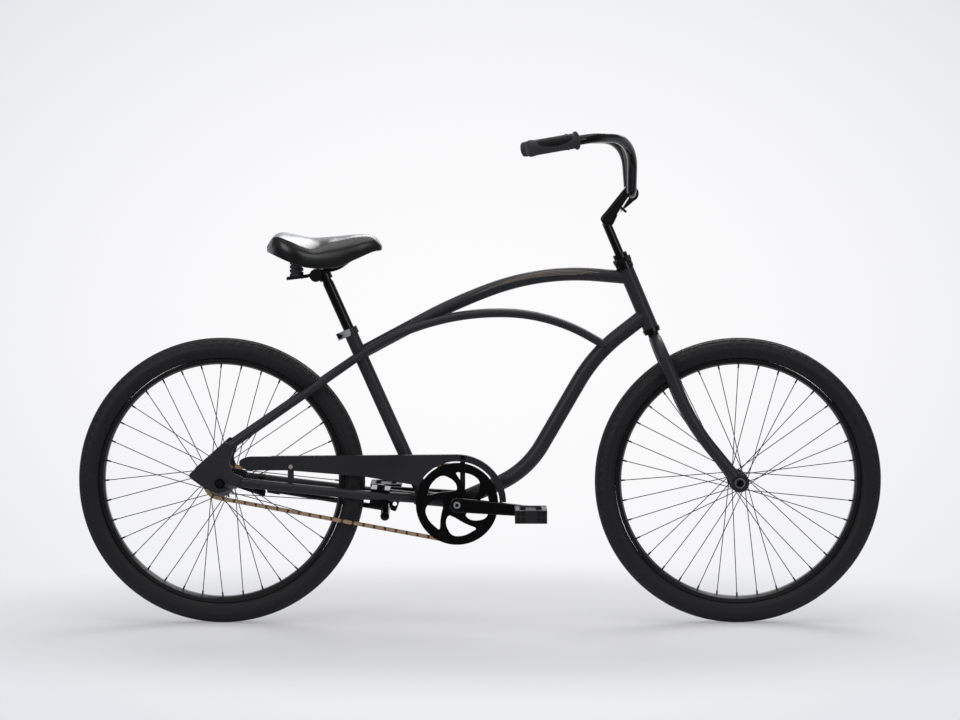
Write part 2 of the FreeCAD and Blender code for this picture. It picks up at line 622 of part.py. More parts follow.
# A toothed plate: a ring with one roller seat that is repeated round it
def toothed(name, teeth, bore, phase, centre):
    body = doc.addObject("PartDesign::Body", name + "_body")
    radius = pitch_radius(worth(teeth))
    tip = radius + dim.tooth_rise
    blank = sketch_on(body, "XY_Plane")
    round_hole(blank, Vector(), f"chain_pitch / (2 * sin(180 deg / {teeth})) + tooth_rise")
    round_hole(blank, Vector(), bore)
    pad = body.newObject("PartDesign::Pad", name + "_pad")
    pad.Profile = blank
    bind(pad, Length="tooth_thickness")
    seat = dim.roller_seat_d / 2
    mouth = math.pi * tip / worth(teeth) - dim.tooth_tip / 2
    past_tip = tip + dim.tooth_rise / 2
    spread = mouth + (mouth - seat) / dim.tooth_rise * (past_tip - tip)
    gap = sketch_on(body, "XY_Plane")
    turn = Rotation(axis_z, phase)
    left = turn.multVec(Vector(radius, seat, 0))
    right = turn.multVec(Vector(radius, -seat, 0))
    far_left = turn.multVec(Vector(past_tip, spread, 0))
    far_right = turn.multVec(Vector(past_tip, -spread, 0))
    gap.addGeometry(Part.Arc(left, turn.multVec(Vector(radius - seat, 0, 0)), right))
    gap.addGeometry(Part.LineSegment(right, far_right))
    gap.addGeometry(Part.LineSegment(far_right, far_left))
    gap.addGeometry(Part.LineSegment(far_left, left))
    pocket = body.newObject("PartDesign::Pocket", name + "_pocket")
    pocket.Profile = gap
    pocket.Type = "ThroughAll"
    pocket.Reversed = True
    pattern = body.newObject("PartDesign::PolarPattern", name + "_teeth")
    pattern.Originals = [pocket]
    pattern.Axis = (blank, ["N_Axis"])
    pattern.Angle = 360
    bind(pattern, Occurrences=teeth)
    body.Tip = pattern
    front = -dim.chainline + dim.tooth_thickness / 2
    body.Placement = Placement(at_side(centre, front), side_view)
    return body


# Sprocket on its driver, which turns on the rear axle
driver = cylinder(
    "driver_sleeve", "driver_d / 2", "driver_end - rear_shell_right - part_gap",
    rear_axle_point - axis_y * dim.driver_end,
)
driver_bore = cylinder(
    "driver_bore", "axle_d / 2 + shaft_gap", "driver_end", rear_axle_point - axis_y * dim.driver_end
)
sprocket_plate = toothed(
    "sprocket", "sprocket_teeth", "axle_d / 2 + shaft_gap", sprocket_phase, rear_axle_point
)
node("rear_sprocket", cut("rear_sprocket", fuse("rear_sprocket", driver, sprocket_plate), driver_bore))


# Chain links: plates with round ends, joined by two rollers or by two pins
def link_plate(inner_face):
    half = dim.link_plate_height / 2
    pitch = dim.chain_pitch

    def at(x, z):
        return Vector(x, inner_face, z)

    edges = [
        Part.LineSegment(at(0, half), at(pitch, half)),
        Part.Arc(at(pitch, half), at(pitch + half, 0), at(pitch, -half)),
        Part.LineSegment(at(pitch, -half), at(0, -half)),
        Part.Arc(at(0, -half), at(-half, 0), at(0, half)),
    ]
    face = Part.Face(Part.Wire([edge.toShape() for edge in edges]))
    return face.extrude(axis_y * math.copysign(dim.link_plate_wall, inner_face))


def link_shape(outer):
    inner_half = dim.inner_link_width / 2
    plate_inner = inner_half + dim.slip_gap if outer else inner_half - dim.link_plate_wall
    half = plate_inner + dim.link_plate_wall
    radius = dim.chain_pin_d / 2 if outer else dim.roller_d / 2
    shape = link_plate(plate_inner)
    rods = [
        Part.makeCylinder(radius, 2 * half, Vector(x, -half, 0), axis_y) for x in (0, dim.chain_pitch)
    ]
    shape = shape.fuse([link_plate(-plate_inner)] + rods)
    if outer:
        return shape
    bores = [
        Part.makeCylinder(dim.chain_pin_d / 2 + dim.shaft_gap, 2 * half, Vector(x, -half, 0), axis_y)
        for x in (0, dim.chain_pitch)
    ]
    return shape.cut(bores)


def chain_shape():
    masters = [link_shape(False), link_shape(True)]
    links = []
    for i in range(int(dim.chain_links)):
        here = roller_centre(i)
        way = roller_centre((i + 1) % int(dim.chain_links)) - here
        link = masters[i % 2].copy()
        link.Placement = Placement(here, Rotation(axis_y, -math.degrees(math.atan2(way.z, way.x))))
        links.append(link)
    return Part.makeCompound(links)


node("chain", made("chain_links", chain_shape()))


# Crankset: the right crank points forward, the left one back
crank_way = heading(dim.crank_angle)
crank_ends = {-1: crank_axis + crank_way * dim.crank_length, 1: crank_axis - crank_way * dim.crank_length}
spindle_half = "crank_inner + crank_thickness - crank_bolt_wall"
spindle_bore = "spindle_d / 2 + shaft_gap"
node("bottom_bracket_spindle", cylinder(
    "spindle", "spindle_d / 2", f"2 * ({spindle_half})", crank_axis - axis_y * worth(spindle_half)
))


# A crank arm: a hub and an eye joined by straight flanks, with the arm along local X
def crank_arm(name, base, degrees):
    hub, eye, length = dim.crank_hub_d / 2, dim.crank_eye_d / 2, dim.crank_length
    lean = math.asin((hub - eye) / length)
    hub_touch = Vector(hub * math.sin(lean), hub * math.cos(lean), 0)
    eye_touch = Vector(length + eye * math.sin(lean), eye * math.cos(lean), 0)
    hub_low = Vector(hub_touch.x, -hub_touch.y, 0)
    eye_low = Vector(eye_touch.x, -eye_touch.y, 0)
    outline = [
        Part.LineSegment(hub_touch, eye_touch),
        Part.Arc(eye_touch, Vector(length + eye, 0, 0), eye_low),
        Part.LineSegment(eye_low, hub_low),
        Part.Arc(hub_low, Vector(-hub, 0, 0), hub_touch),
    ]
    holes = [(Vector(), spindle_bore), (Vector(length, 0, 0), "pedal_axle_d / 2 + shaft_gap")]
    turn = side_view.multiply(Rotation(axis_z, degrees))
    return plate(name, [outline], holes, "crank_thickness", base, turn, "crank_edge_round")


crank_outer = dim.crank_inner + dim.crank_thickness
right_arm = crank_arm("right_arm", at_side(crank_axis, -dim.crank_inner), dim.crank_angle)
boss_start = "chainline + tooth_thickness / 2 + boss_gap"
crank_boss = ring(
    "crank_boss", "crank_boss_d / 2", spindle_bore, f"crank_inner - ({boss_start}) + crank_edge_round",
    at_side(crank_axis, -worth(boss_start)), -axis_y,
)
node("right_crank_arm", fuse("right_crank_arm", right_arm, crank_boss))
node("left_crank_arm", crank_arm("left_arm", at_side(crank_axis, crank_outer), dim.crank_angle + 180))

# Chainring behind the spider disc, with bolts that hold the two apart
bolt_places = [
    polar(dim.ring_bolt_circle / 2, dim.ring_bolt_angle + i * 360 / dim.ring_bolt_count)
    for i in range(int(dim.ring_bolt_count))
]
bolt_hole = "ring_bolt_d / 2 + shaft_gap"
ring_plate = toothed(
    "ring_plate", "chainring_teeth", "ring_bolt_circle / 2 + ring_bolt_d / 2", ring_phase, crank_axis
)
ring_front = -dim.chainline + dim.tooth_thickness / 2
spider_outer = dim.spider_inner + dim.spider_wall


def at_bolt(place, y):
    return Vector(crank_axis.x + place.x, y, crank_axis.z + place.y)


ring_bores = [
    cylinder("ring_bore", bolt_hole, "tooth_thickness", at_bolt(place, ring_front), -axis_y)
    for place in bolt_places
]
ring_ears = [
    cylinder("ring_ear", "ring_ear_d / 2", "tooth_thickness", at_bolt(place, ring_front), -axis_y)
    for place in bolt_places
]
node("chainring", cut("chainring", fuse("ring_body", ring_plate, *ring_ears), *ring_bores))


# A window between two arms that leave the hub at a slant: each corner's share of the way out,
# share of the step round from the arm's bolt, and rounding
window_corners = [
    (0.02, -0.16, 6), (0.3, -0.15, 25), (0.58, -0.02, 30), (1.0, 0.2, 28), (1.04, 0.5, 75),
    (0.96, 0.89, 3), (0.4, 0.63, 150), (0.04, 0.24, 20),
]


def spider_window(first):
    inner, step = dim.window_inner_r, 360 / dim.ring_bolt_count
    span = dim.window_outer_r - inner
    corners = [polar(inner + out * span, first + turn * step) for out, turn, corner in window_corners]
    return rounded(corners, [corner for out, turn, corner in window_corners], closed=True)


windows = [
    spider_window(dim.ring_bolt_angle + i * 360 / dim.ring_bolt_count) for i in range(int(dim.ring_bolt_count))
]
spider_holes = [(place, bolt_hole) for place in bolt_places]
spider_holes += [(Vector(), "crank_boss_d / 2 + shaft_gap"), (Vector(), "spider_d / 2")]
node("chainring_spider", plate(
    "spider", windows, spider_holes, "spider_wall", at_side(crank_axis, -dim.spider_inner)
))


def ring_bolt(place):
    shank = cylinder(
        "ring_shank", "ring_bolt_d / 2", "spider_inner + spider_wall - chainline + tooth_thickness / 2",
        at_bolt(place, ring_front), -axis_y,
    )
    head = cylinder(
        "ring_head", "ring_bolt_head_d / 2", "ring_bolt_head", at_bolt(place, -spider_outer), -axis_y
    )
    spacer = cylinder(
        "ring_spacer", "ring_bolt_head_d / 2", "spider_inner - chainline - tooth_thickness / 2",
        at_bolt(place, -dim.spider_inner), axis_y,
    )
    nut = cylinder(
        "ring_nut", "ring_bolt_head_d / 2", "ring_bolt_head / 2", at_bolt(place, ring_front), axis_y
    )
    return fuse("ring_bolt", shank, head, spacer, nut)


crank_bolts = [
    cylinder("crank_bolt", "crank_bolt_d / 2", "2 * crank_bolt_wall",
             crank_axis + axis_y * side * worth(spindle_half), axis_y * side)
    for side in (1, -1)
]
node("crankset_bolts", group("crankset_bolts", *[ring_bolt(place) for place in bolt_places], *crank_bolts))

# Pedals with their axles
pedal_axles = []
for side in (-1, 1):
    out = axis_y * side
    shaft = cylinder(
        "pedal_shaft", "pedal_axle_d / 2", "pedal_axle_reach - crank_inner",
        crank_ends[side] + out * dim.crank_inner, out,
    )
    collar = cylinder(
        "pedal_collar", "0.8 * pedal_axle_d", "pedal_inner - crank_inner - crank_thickness - part_gap",
        crank_ends[side] + out * crank_outer, out,
    )
    pedal_axles.append(fuse("pedal_axle", shaft, collar))
node("pedal_axles", group("pedal_axles", *pedal_axles))


def rectangle(length, width, corner):
    x, y = length / 2, width / 2
    points = flat_points([(-x, -y), (x, -y), (x, y), (-x, y)])
    return rounded(points, [corner] * 4, closed=True)


# A pedal: a frame with rounded section about an open middle, and a barrel on the axle
def pedal(name, centre, side):
    near, far = sorted((side * dim.pedal_inner, side * (dim.pedal_inner + dim.pedal_length)))
    depth, length, corner = dim.pedal_depth, dim.pedal_length, dim.pedal_corner
    profile = rectangle(depth, dim.pedal_height, corner)
    section = plate(name + "_section", [profile], [], "pedal_length", at_side(centre, far))
    border = rectangle(depth, length, corner / 2)
    opening = rectangle(depth - 2 * dim.pedal_rail, length - 2 * dim.pedal_end_wall, corner / 2)
    frame = plate(
        name + "_frame", [border, opening], [], "pedal_height",
        Vector(centre.x, (near + far) / 2, centre.z - dim.pedal_height / 2), Rotation(),
    )
    shared = doc.addObject("Part::Common", name + "_common")
    shared.Base = section
    shared.Tool = frame
    barrel = cylinder(name + "_barrel", "pedal_barrel_d / 2", "pedal_length", at_side(centre, near))
    bore = cylinder(name + "_bore", "pedal_axle_d / 2 + shaft_gap", "pedal_length", at_side(centre, near))
    glass = []
    for way in (1, -1):
        middle = dim.pedal_depth / 2 - dim.reflector_wall / 2
        base = Vector(centre.x + way * middle, (near + far) / 2, centre.z - dim.reflector_height / 2)
        glass.append(block(name + "_glass", "reflector_wall", "reflector_length", "reflector_height", base))
    node(name, cut(name, fuse(name, shared, barrel), bore, *glass))
    node(name + "_reflectors", group(name + "_reflectors", *glass))


pedal("right_pedal", crank_ends[-1], -1)
pedal("left_pedal", crank_ends[1], 1)

# Steering axis and the heights along it, from the foot of the axle's offset
steer_up = heading(180 - dim.head_angle)
steer_ahead = heading(90 - dim.head_angle)
steer_foot = front_axle_point - steer_ahead * dim.fork_offset


def steer(up, ahead=0.0, y=0.0):
    return steer_foot + steer_up * up + steer_ahead * ahead + axis_y * y


race_top = dim.fork_crown + dim.race_height
low_cup = race_top + dim.part_gap
head_low = low_cup + dim.headset_cup_height
head_top = head_low + dim.head_tube_length
top_cup_end = head_top + dim.headset_cup_height
cone_start = top_cup_end + dim.part_gap
locknut_start = cone_start + dim.cone_height
steerer_top = locknut_start + dim.locknut_height
steerer_bore = "steerer_d / 2 + shaft_gap"

# Fork
steerer_low = dim.fork_crown - dim.steerer_tail
headset_height = "race_height + 2 * part_gap + 2 * headset_cup_height + cone_height + locknut_height"
steerer_length = f"steerer_tail + head_tube_length + {headset_height}"
steerer_inside = "steerer_d / 2 - steerer_wall"
steerer_tube = ring(
    "steerer_tube", "steerer_d / 2", steerer_inside, steerer_length, steer(steerer_low), steer_up
)
steerer_solid = cylinder("steerer_solid", "steerer_d / 2", steerer_length, steer(steerer_low), steer_up)
crown_race = ring("crown_race", "race_d / 2", steerer_inside, "race_height", steer(dim.fork_crown), steer_up)
node("steerer", fuse("steerer", steerer_tube, crown_race))


def fork_blade(name, side):
    blade_top = dim.fork_crown - dim.blade_tuck
    shoulder = blade_top - dim.blade_shoulder
    bend = steer(shoulder - dim.blade_bend_drop, 0, side * dim.blade_spread)
    axle_end = front_axle_point + axis_y * side * dim.blade_spread
    points = [
        steer(blade_top, 0, side * dim.blade_root_half),
        steer(shoulder, 0, side * dim.blade_spread),
        bend,
        axle_end + (bend - axle_end).normalize() * dim.blade_stop,
    ]
    blade = tube(name, points, [0, dim.shoulder_bend, dim.blade_bend, 0], "blade_d", "blade_wall")[0]
    end_base = front_axle_point + axis_y * side * dim.front_hub_spacing / 2
    end_plate = cylinder(name + "_end", "fork_end_d / 2", "fork_end_wall", end_base, axis_y * side)
    bore = cylinder(name + "_end_bore", "axle_d / 2 + shaft_gap", "fork_end_wall", end_base, axis_y * side)
    node(name, cut(name, fuse(name, cut(name + "_cope", blade, steerer_solid), end_plate), bore))


fork_blade("left_fork_blade", 1)
fork_blade("right_fork_blade", -1)

headset_cone = ring(
    "headset_cone", "headset_cup_d / 2", steerer_bore, "cone_height", steer(cone_start), steer_up
)
locknut_body = hexagon("locknut_body", "locknut_width", "locknut_height / 2", steer(locknut_start), steer_up)
locknut_collar = cylinder(
    "locknut_collar", "locknut_collar_d / 2", "locknut_height / 2",
    steer(locknut_start + dim.locknut_height / 2), steer_up,
)
locknut_bore = cylinder("locknut_bore", steerer_bore, "locknut_height", steer(locknut_start), steer_up)
locknut = cut("locknut", fuse("locknut", locknut_body, locknut_collar), locknut_bore)
node("headset_nuts", group("headset_nuts", headset_cone, locknut))

front_half = "front_hub_spacing / 2 + fork_end_wall + washer_wall + axle_nut_height"
front_shaft = axle_shaft("front_shaft", front_axle_point, front_half)
front_cones = [
    cylinder("front_cone", "cone_d / 2", "front_hub_spacing / 2 - front_shell_length / 2 - part_gap",
             front_axle_point + axis_y * side * dim.front_hub_spacing / 2, axis_y * -side)
    for side in (1, -1)
]
node("front_axle", fuse("front_axle", *front_shaft, *front_cones))
front_seat = dim.front_hub_spacing / 2 + dim.fork_end_wall
front_nuts = [
    solid for side in (1, -1)
    for solid in axle_nut("front_axle_nut", front_axle_point + axis_y * side * front_seat, axis_y * side)
]
node("fork_fasteners", group("fork_fasteners", *front_nuts))

# Stem: quill, a slanted body split into a clamp round the bar, and its bolts
elbow = steer(steerer_top + dim.stem_rise)
stem_way = heading(dim.stem_angle)
clamp_centre = elbow + stem_way * dim.stem_reach
stem_turn = side_view.multiply(Rotation(axis_z, dim.stem_angle))
reach, clamp_r = dim.stem_reach, dim.bar_clamp_d / 2
stem_outline = rounded(
    flat_points([
        (-4, 0.88 * clamp_r), (reach, clamp_r), (reach + 0.7 * clamp_r, 0), (reach - 4, -0.98 * clamp_r),
        (0.75 * reach, -0.85 * clamp_r), (0.5 * reach, -0.6 * clamp_r), (0.38 * reach, -0.48 * clamp_r),
        (5, -0.88 * clamp_r), (-10, -4),
    ]),
    [8, 6, 6, 8, 30, 20, 10, 6, 6], closed=True,
)
stem_body = plate(
    "stem_body", [stem_outline], [], "stem_width", elbow + axis_y * dim.stem_width / 2, stem_turn,
    "stem_edge_round",
)
stem_clamp = cylinder(
    "stem_clamp", "bar_clamp_d / 2", "bar_clamp_width", clamp_centre - axis_y * dim.bar_clamp_width / 2
)
quill_low = steerer_top - dim.quill_depth
quill = cylinder("quill", "quill_d / 2", "quill_depth + stem_rise", steer(quill_low), steer_up)
elbow_up = steerer_top + dim.stem_rise
expander_top = steer(elbow_up + dim.expander_seat)
quill_bore = cylinder(
    "quill_bore", "quill_d / 2 - quill_wall", "quill_depth + stem_rise - hidden_length", steer(quill_low),
    steer_up,
)
bolt_way = cylinder(
    "bolt_way", "expander_d / 2 + slip_gap", "4 * hidden_length", steer(elbow_up - 2 * dim.hidden_length),
    steer_up,
)
head_way = cylinder("head_way", "expander_head_d / 2 + slip_gap", "4 * hidden_length", expander_top, steer_up)
bar_bore = cylinder(
    "bar_bore", "bar_d / 2 + shaft_gap", "bar_clamp_width", clamp_centre - axis_y * dim.bar_clamp_width / 2
)
slot_way = Rotation(axis_y, -dim.stem_angle - dim.slot_splay)
slot_middle = elbow + stem_way * 0.62 * reach - heading(dim.stem_angle + 90) * 0.3 * clamp_r
slot_base = slot_middle - slot_way.multVec(axis_z) * dim.clamp_slot / 2
slot = block("stem_slot", "0.56 * stem_reach", "2 * bar_clamp_width", "clamp_slot", slot_base, slot_way)
jaw_down = -heading(dim.stem_angle + 90)
jaw_bolt_point = elbow + stem_way * 0.55 * reach - jaw_down * dim.jaw_bolt_lift
jaw_hole = cylinder("jaw_hole", "clamp_bolt_d / 2 + slip_gap", "bar_clamp_d", jaw_bolt_point, jaw_down)
node("stem", cut(
    "stem", fuse("stem", stem_body, stem_clamp, quill),
    quill_bore, bolt_way, head_way, bar_bore, slot, jaw_hole,
))

wedge_low = quill_low - dim.wedge_height
expander_shank = cylinder(
    "expander_shank", "expander_d / 2", "wedge_height + quill_depth + stem_rise + expander_seat",
    steer(wedge_low), steer_up,
)
expander_head = cylinder("expander_head", "expander_head_d / 2", "expander_d", expander_top, steer_up)
wedge = ring(
    "wedge", "quill_d / 2", "expander_d / 2 + shaft_gap", "wedge_height", steer(wedge_low), steer_up
)
jaw_shank = cylinder("jaw_shank", "clamp_bolt_d / 2", "0.7 * bar_clamp_d", jaw_bolt_point, jaw_down)
node("stem_bolts", group("stem_bolts", fuse("expander", expander_shank, expander_head), wedge, jaw_shank))


# Handlebar: each half rises from the clamp, sweeps out and turns back to its grip
def bar_half(side):
    yaw = math.radians(dim.grip_yaw)
    drop = math.radians(dim.grip_drop)
    low = clamp_centre + axis_y * side * dim.bar_centre_half
    high = clamp_centre + Vector(dim.bar_lean, side * dim.bar_sweep_half, dim.bar_rise)
    back = clamp_centre + Vector(-dim.bar_turn_back, side * dim.bar_turn_half, dim.bar_rise)
    way = Vector(-math.cos(drop) * math.cos(yaw), side * math.cos(drop) * math.sin(yaw), -math.sin(drop))
    grip_point = back + way * dim.grip_start
    bar_end = grip_point + way * (dim.grip_length - dim.grip_cap)
    return [low, high, back, bar_end], grip_point, way


right_points, right_grip_point, right_grip_way = bar_half(-1)
left_points, left_grip_point, left_grip_way = bar_half(1)
half_bends = [dim.bar_low_bend, dim.bar_high_bend, dim.bar_turn_bend, 0]
bar_points = right_points[::-1] + left_points
node("handlebar", tube("handlebar", bar_points, half_bends[::-1] + half_bends, "bar_d", "bar_wall")[0])
grip_bore = "bar_d / 2 + shaft_gap"
grip_profile = [
    ("0", grip_bore), ("0", "grip_flange_d / 2 - 1"), ("1", "grip_flange_d / 2"),
    ("grip_flange", "grip_flange_d / 2"), ("grip_flange + 3", "grip_d / 2"),
    ("grip_length - grip_cap - 6", "grip_d / 2"), ("grip_length - grip_cap - 4", "grip_cap_d / 2"),
    ("grip_length - 4", "grip_cap_d / 2"), ("grip_length - 1", "grip_cap_d / 2 - 4"),
    ("grip_length", "grip_cap_d / 2 - 10"), ("grip_length", "0"), ("grip_length - grip_cap", "0"),
    ("grip_length - grip_cap", grip_bore),
]
node("right_grip", turned("right_grip", grip_profile, right_grip_point, right_grip_way))
node("left_grip", turned("left_grip", grip_profile, left_grip_point, left_grip_way))


# Frame: solid forms first, which cope the tubes that meet them
seat_up = heading(180 - dim.seat_angle)
seat_ahead = heading(90 - dim.seat_angle)
seat_turn = Rotation(axis_y, dim.seat_angle - 90)
seat_foot = crank_axis + along_stays * dim.seat_tube_setback
seat_top = seat_foot + seat_up * dim.seat_tube_length
head_solid = cylinder("head_solid", "head_tube_d / 2", "head_tube_length", steer(head_low), steer_up)
seat_solid = cylinder("seat_solid", "seat_tube_d / 2", "seat_tube_length", seat_foot, seat_up)
shell_right = crank_axis - axis_y * dim.shell_width / 2
shell_solid = cylinder("shell_solid", "shell_d / 2", "shell_width", shell_right)
bottom_solid = cylinder("bottom_solid", "bottom_tube_d / 2", "bottom_tube_length", crank_axis, along_stays)

node("head_tube", ring(
    "head_tube", "head_tube_d / 2", "head_tube_d / 2 - head_tube_wall", "head_tube_length",
    steer(head_low), steer_up,
))
post_bore = "post_d / 2 + shaft_gap"
seat_tube_body = ring("seat_tube", "seat_tube_d / 2", post_bore, "seat_tube_length", seat_foot, seat_up)
node("seat_tube", cut("seat_tube_cope", seat_tube_body, bottom_solid))
shell_bore = cylinder("shell_bore", "cup_d / 2", "shell_width", shell_right)
bottom_bore = cylinder(
    "bottom_bore", "bottom_tube_d / 2 - tube_gauge", "bottom_tube_length - tube_gauge",
    crank_axis, along_stays,
)
node("bottom_bracket_shell", cut(
    "bottom_bracket_shell", fuse("bottom_bracket_shell", shell_solid, bottom_solid), shell_bore, bottom_bore
))

# Top tube: up from the head tube, over a long bow, down to the seat tube
top_start = steer(head_top - dim.top_tube_drop)
top_front = top_start + heading(180 - dim.top_tube_rise_angle) * dim.top_tube_front_run
top_rear = top_front + heading(180 + dim.top_tube_mid_angle) * dim.top_tube_mid_run
top_end = seat_top - seat_up * dim.top_tube_seat_drop
top_tube, top_solid = tube(
    "top_tube", [top_start, top_front, top_rear, top_end],
    [0, dim.top_tube_front_bend, dim.top_tube_rear_bend, 0], "top_tube_d", "tube_gauge",
)
cup_room = cylinder(
    "cup_room", "headset_cup_d / 2 + slip_gap", "top_tube_d", steer(head_top), steer_up
)
node("top_tube", cut("top_tube_cope", top_tube, head_solid, seat_solid, cup_room))

# Down tube: two bends from the head tube to the bottom bracket
down_start = steer(head_low + dim.down_tube_lift)
down_way = heading(180 + dim.down_tube_angle)
down_front = down_start + down_way * dim.down_tube_front_run
down_rear = down_front + heading(180 + dim.down_tube_mid_angle) * dim.down_tube_mid_run
down_tube, down_solid = tube(
    "down_tube", [down_start, down_front, down_rear, crank_axis],
    [0, dim.down_tube_front_bend, dim.down_tube_rear_bend, 0], "down_tube_d", "tube_gauge",
)
node("down_tube", cut("down_tube_cope", down_tube, head_solid, shell_solid))

# Dropouts: plates with an axle slot that opens forwards and down
dropout_middle = dim.rear_hub_spacing / 2 + dim.dropout_wall / 2
dropout_outline = [
    (-75, 17.5, 8), (13, 96.2, 6), (34, 85.8, 6), (28, 65.3, 20), (21, 48.5, 20), (30, 24.1, 12),
    (54, 13.9, 4), (54, -11, 4), (28, -13, 4), (-4, -24.1, 14), (-38.5, -9.1, 20),
]


def dropout(side):
    points = flat_points([(x, z) for x, z, corner in dropout_outline])
    loop = rounded(points, [corner for x, z, corner in dropout_outline], closed=True)
    outer = side * dropout_middle + dim.dropout_wall / 2
    body = plate("dropout", [loop], [], "dropout_wall", at_side(rear_axle_point, outer))
    inner = at_side(rear_axle_point, outer - dim.dropout_wall)
    seat = cylinder("axle_seat", "axle_d / 2 + slip_gap", "dropout_wall", inner)
    slot_turn = Rotation(axis_y, dim.axle_slot_angle)
    length = "8 * axle_d"
    middle = at_side(rear_axle_point, outer - dim.dropout_wall / 2)
    base = middle + slot_turn.multVec(Vector(worth(length) / 2, 0, -dim.axle_d / 2 - dim.slip_gap))
    mouth = block("axle_mouth", length, "2 * dropout_wall", "axle_d + 2 * slip_gap", base, slot_turn)
    return cut("dropout", body, seat, mouth)


dropouts = {side: dropout(side) for side in (-1, 1)}
node("rear_dropouts", group("rear_dropouts", dropouts[-1], dropouts[1]))
stay_solids = {}


# A twin stay: from the down tube's side, level past the top tube and seat tube, down to the dropout
def twin_stay(name, side):
    first = down_start + down_way * dim.stay_start
    second = first + heading(180 - dim.stay_front_angle) * dim.stay_front_run
    third = second - axis_x * dim.stay_mid_run
    foot = rear_axle_point + Vector(dim.stay_foot_forward, 0, dim.stay_foot_up)
    rise = (third - foot).normalize()
    halves = [
        (first, dim.stay_front_half, 0), (second, dim.stay_mid_half, dim.stay_front_bend),
        (third, dim.stay_seat_half, dim.stay_mid_bend),
        (foot + rise * dim.stay_upper_kink, dim.stay_seat_half, dim.stay_kink_bend),
        (foot + rise * dim.stay_lower_kink, dim.stay_tyre_half, dim.stay_kink_bend),
        (foot, dropout_middle, 0),
    ]
    points = [at_side(point, side * half) for point, half, bend in halves]
    stay = tube(name, points, [bend for point, half, bend in halves], "stay_d", "stay_gauge")[0]
    node(name, cut(name + "_cope", stay, down_solid, top_solid, seat_solid, dropouts[side]))


# A chainstay: from the bottom tube out past the tyre to the dropout
def chainstay(name, side):
    foot = rear_axle_point + Vector(dim.chainstay_foot_forward, 0, dim.chainstay_foot_up)
    points = [
        at_side(crank_axis + along_stays * dim.chainstay_start, side * dim.chainstay_start_half),
        at_side(crank_axis + along_stays * dim.chainstay_kink, side * dim.chainstay_kink_half),
        at_side(foot, side * dropout_middle),
    ]
    stay, solid = tube(name, points, [0, dim.chainstay_bend, 0], "chainstay_d", "tube_gauge")
    stay_solids[side] = (solid, points)
    node(name, cut(name + "_cope", stay, bottom_solid, seat_solid, dropouts[side]))


twin_stay("left_twin_stay", 1)
twin_stay("right_twin_stay", -1)
chainstay("left_chainstay", 1)
chainstay("right_chainstay", -1)


# Cups pressed into the head tube and screwed into the bottom bracket shell
def cup(name, body_d, bore, depth, flange_d, flange, seat, out):
    insert = cylinder(name + "_insert", body_d, depth, seat, -out)
    lip = cylinder(name + "_lip", flange_d, flange, seat, out)
    hole = cylinder(name + "_hole", bore, f"{depth} + {flange}", seat - out * worth(depth), out)
    return cut(name, fuse(name, insert, lip), hole)


insert_r = "head_tube_d / 2 - head_tube_wall"
head_cups = [
    cup(
        "head_cup", insert_r, steerer_bore, "headset_insert", "headset_cup_d / 2", "headset_cup_height",
        seat, out,
    )
    for seat, out in ((steer(head_low), -steer_up), (steer(head_top), steer_up))
]
left_cup = cup(
    "left_cup", "cup_d / 2", spindle_bore, "cup_depth", "cup_flange_d / 2", "cup_flange_wall",
    crank_axis + axis_y * dim.shell_width / 2, axis_y,
)
right_cup = cup(
    "right_cup", "cup_d / 2", spindle_bore, "cup_depth + strap_wall", "cup_flange_d / 2", "cup_flange_wall",
    crank_axis - axis_y * (dim.shell_width / 2 + dim.strap_wall), -axis_y,
)
node("bearing_cups", group("bearing_cups", *head_cups, left_cup, right_cup))

# Seat clamp: a collar round the seat tube's top, split at the rear between two ears
collar_base = seat_top - seat_up * (dim.seat_collar_height - dim.seat_collar_lip)
collar = cylinder("collar", "seat_collar_d / 2", "seat_collar_height", collar_base, seat_up)
ear_width = "2 * collar_ear_wall + collar_slot"
ears = block(
    "collar_ears", "collar_ear_length + seat_collar_d / 2", ear_width, "seat_collar_height",
    collar_base - seat_ahead * (dim.collar_ear_length + dim.seat_collar_d / 2) / 2, seat_turn,
)
collar_bore = cylinder(
    "collar_bore", "seat_tube_d / 2 + shaft_gap", "seat_collar_height", collar_base, seat_up
)
collar_split = block(
    "collar_split", "2 * collar_ear_length + seat_collar_d", "collar_slot", "2 * seat_collar_height",
    collar_base - seat_ahead * (dim.collar_ear_length + dim.seat_collar_d / 2)
    - seat_up * dim.seat_collar_height / 2, seat_turn,
)
ear_middle = collar_base + seat_up * dim.seat_collar_height / 2 - seat_ahead * (
    dim.seat_collar_d / 2 + dim.collar_ear_length / 2
)


# A bolt across Y: shank, round head on one side and nut on the other
def cross_bolt(name, middle, shank_d, grip):
    half = worth(grip) / 2
    shank = cylinder(name + "_shank", f"{shank_d} / 2", grip, middle - axis_y * half)
    head = cylinder(name + "_head", f"0.9 * {shank_d}", f"0.7 * {shank_d}", middle - axis_y * half, -axis_y)
    nut = hexagon(name + "_nut", f"1.6 * {shank_d}", f"0.7 * {shank_d}", middle + axis_y * half, axis_y)
    return fuse(name, shank, head, nut)


collar_hole = cylinder(
    "collar_hole", "collar_bolt_d / 2 + slip_gap", ear_width, ear_middle - axis_y * worth(ear_width) / 2
)
node("seat_clamp", cut(
    "seat_clamp", fuse("seat_clamp", collar, ears), collar_bore, collar_split, collar_hole
))
fasteners = [cross_bolt("collar_bolt", ear_middle, "collar_bolt_d", ear_width)] + rear_nuts

# Chain guard: a plate round the chain's top run and the spider's front, with a lip turned inwards
guard_y = -dim.guard_inner
axle_away = rear_axle_point - crank_axis


# A place above the line from the crank axis to the rear axle, in the guard's own plane
def beside_chain(share, above):
    return Vector(axle_away.x * share, axle_away.z * share + above, 0)


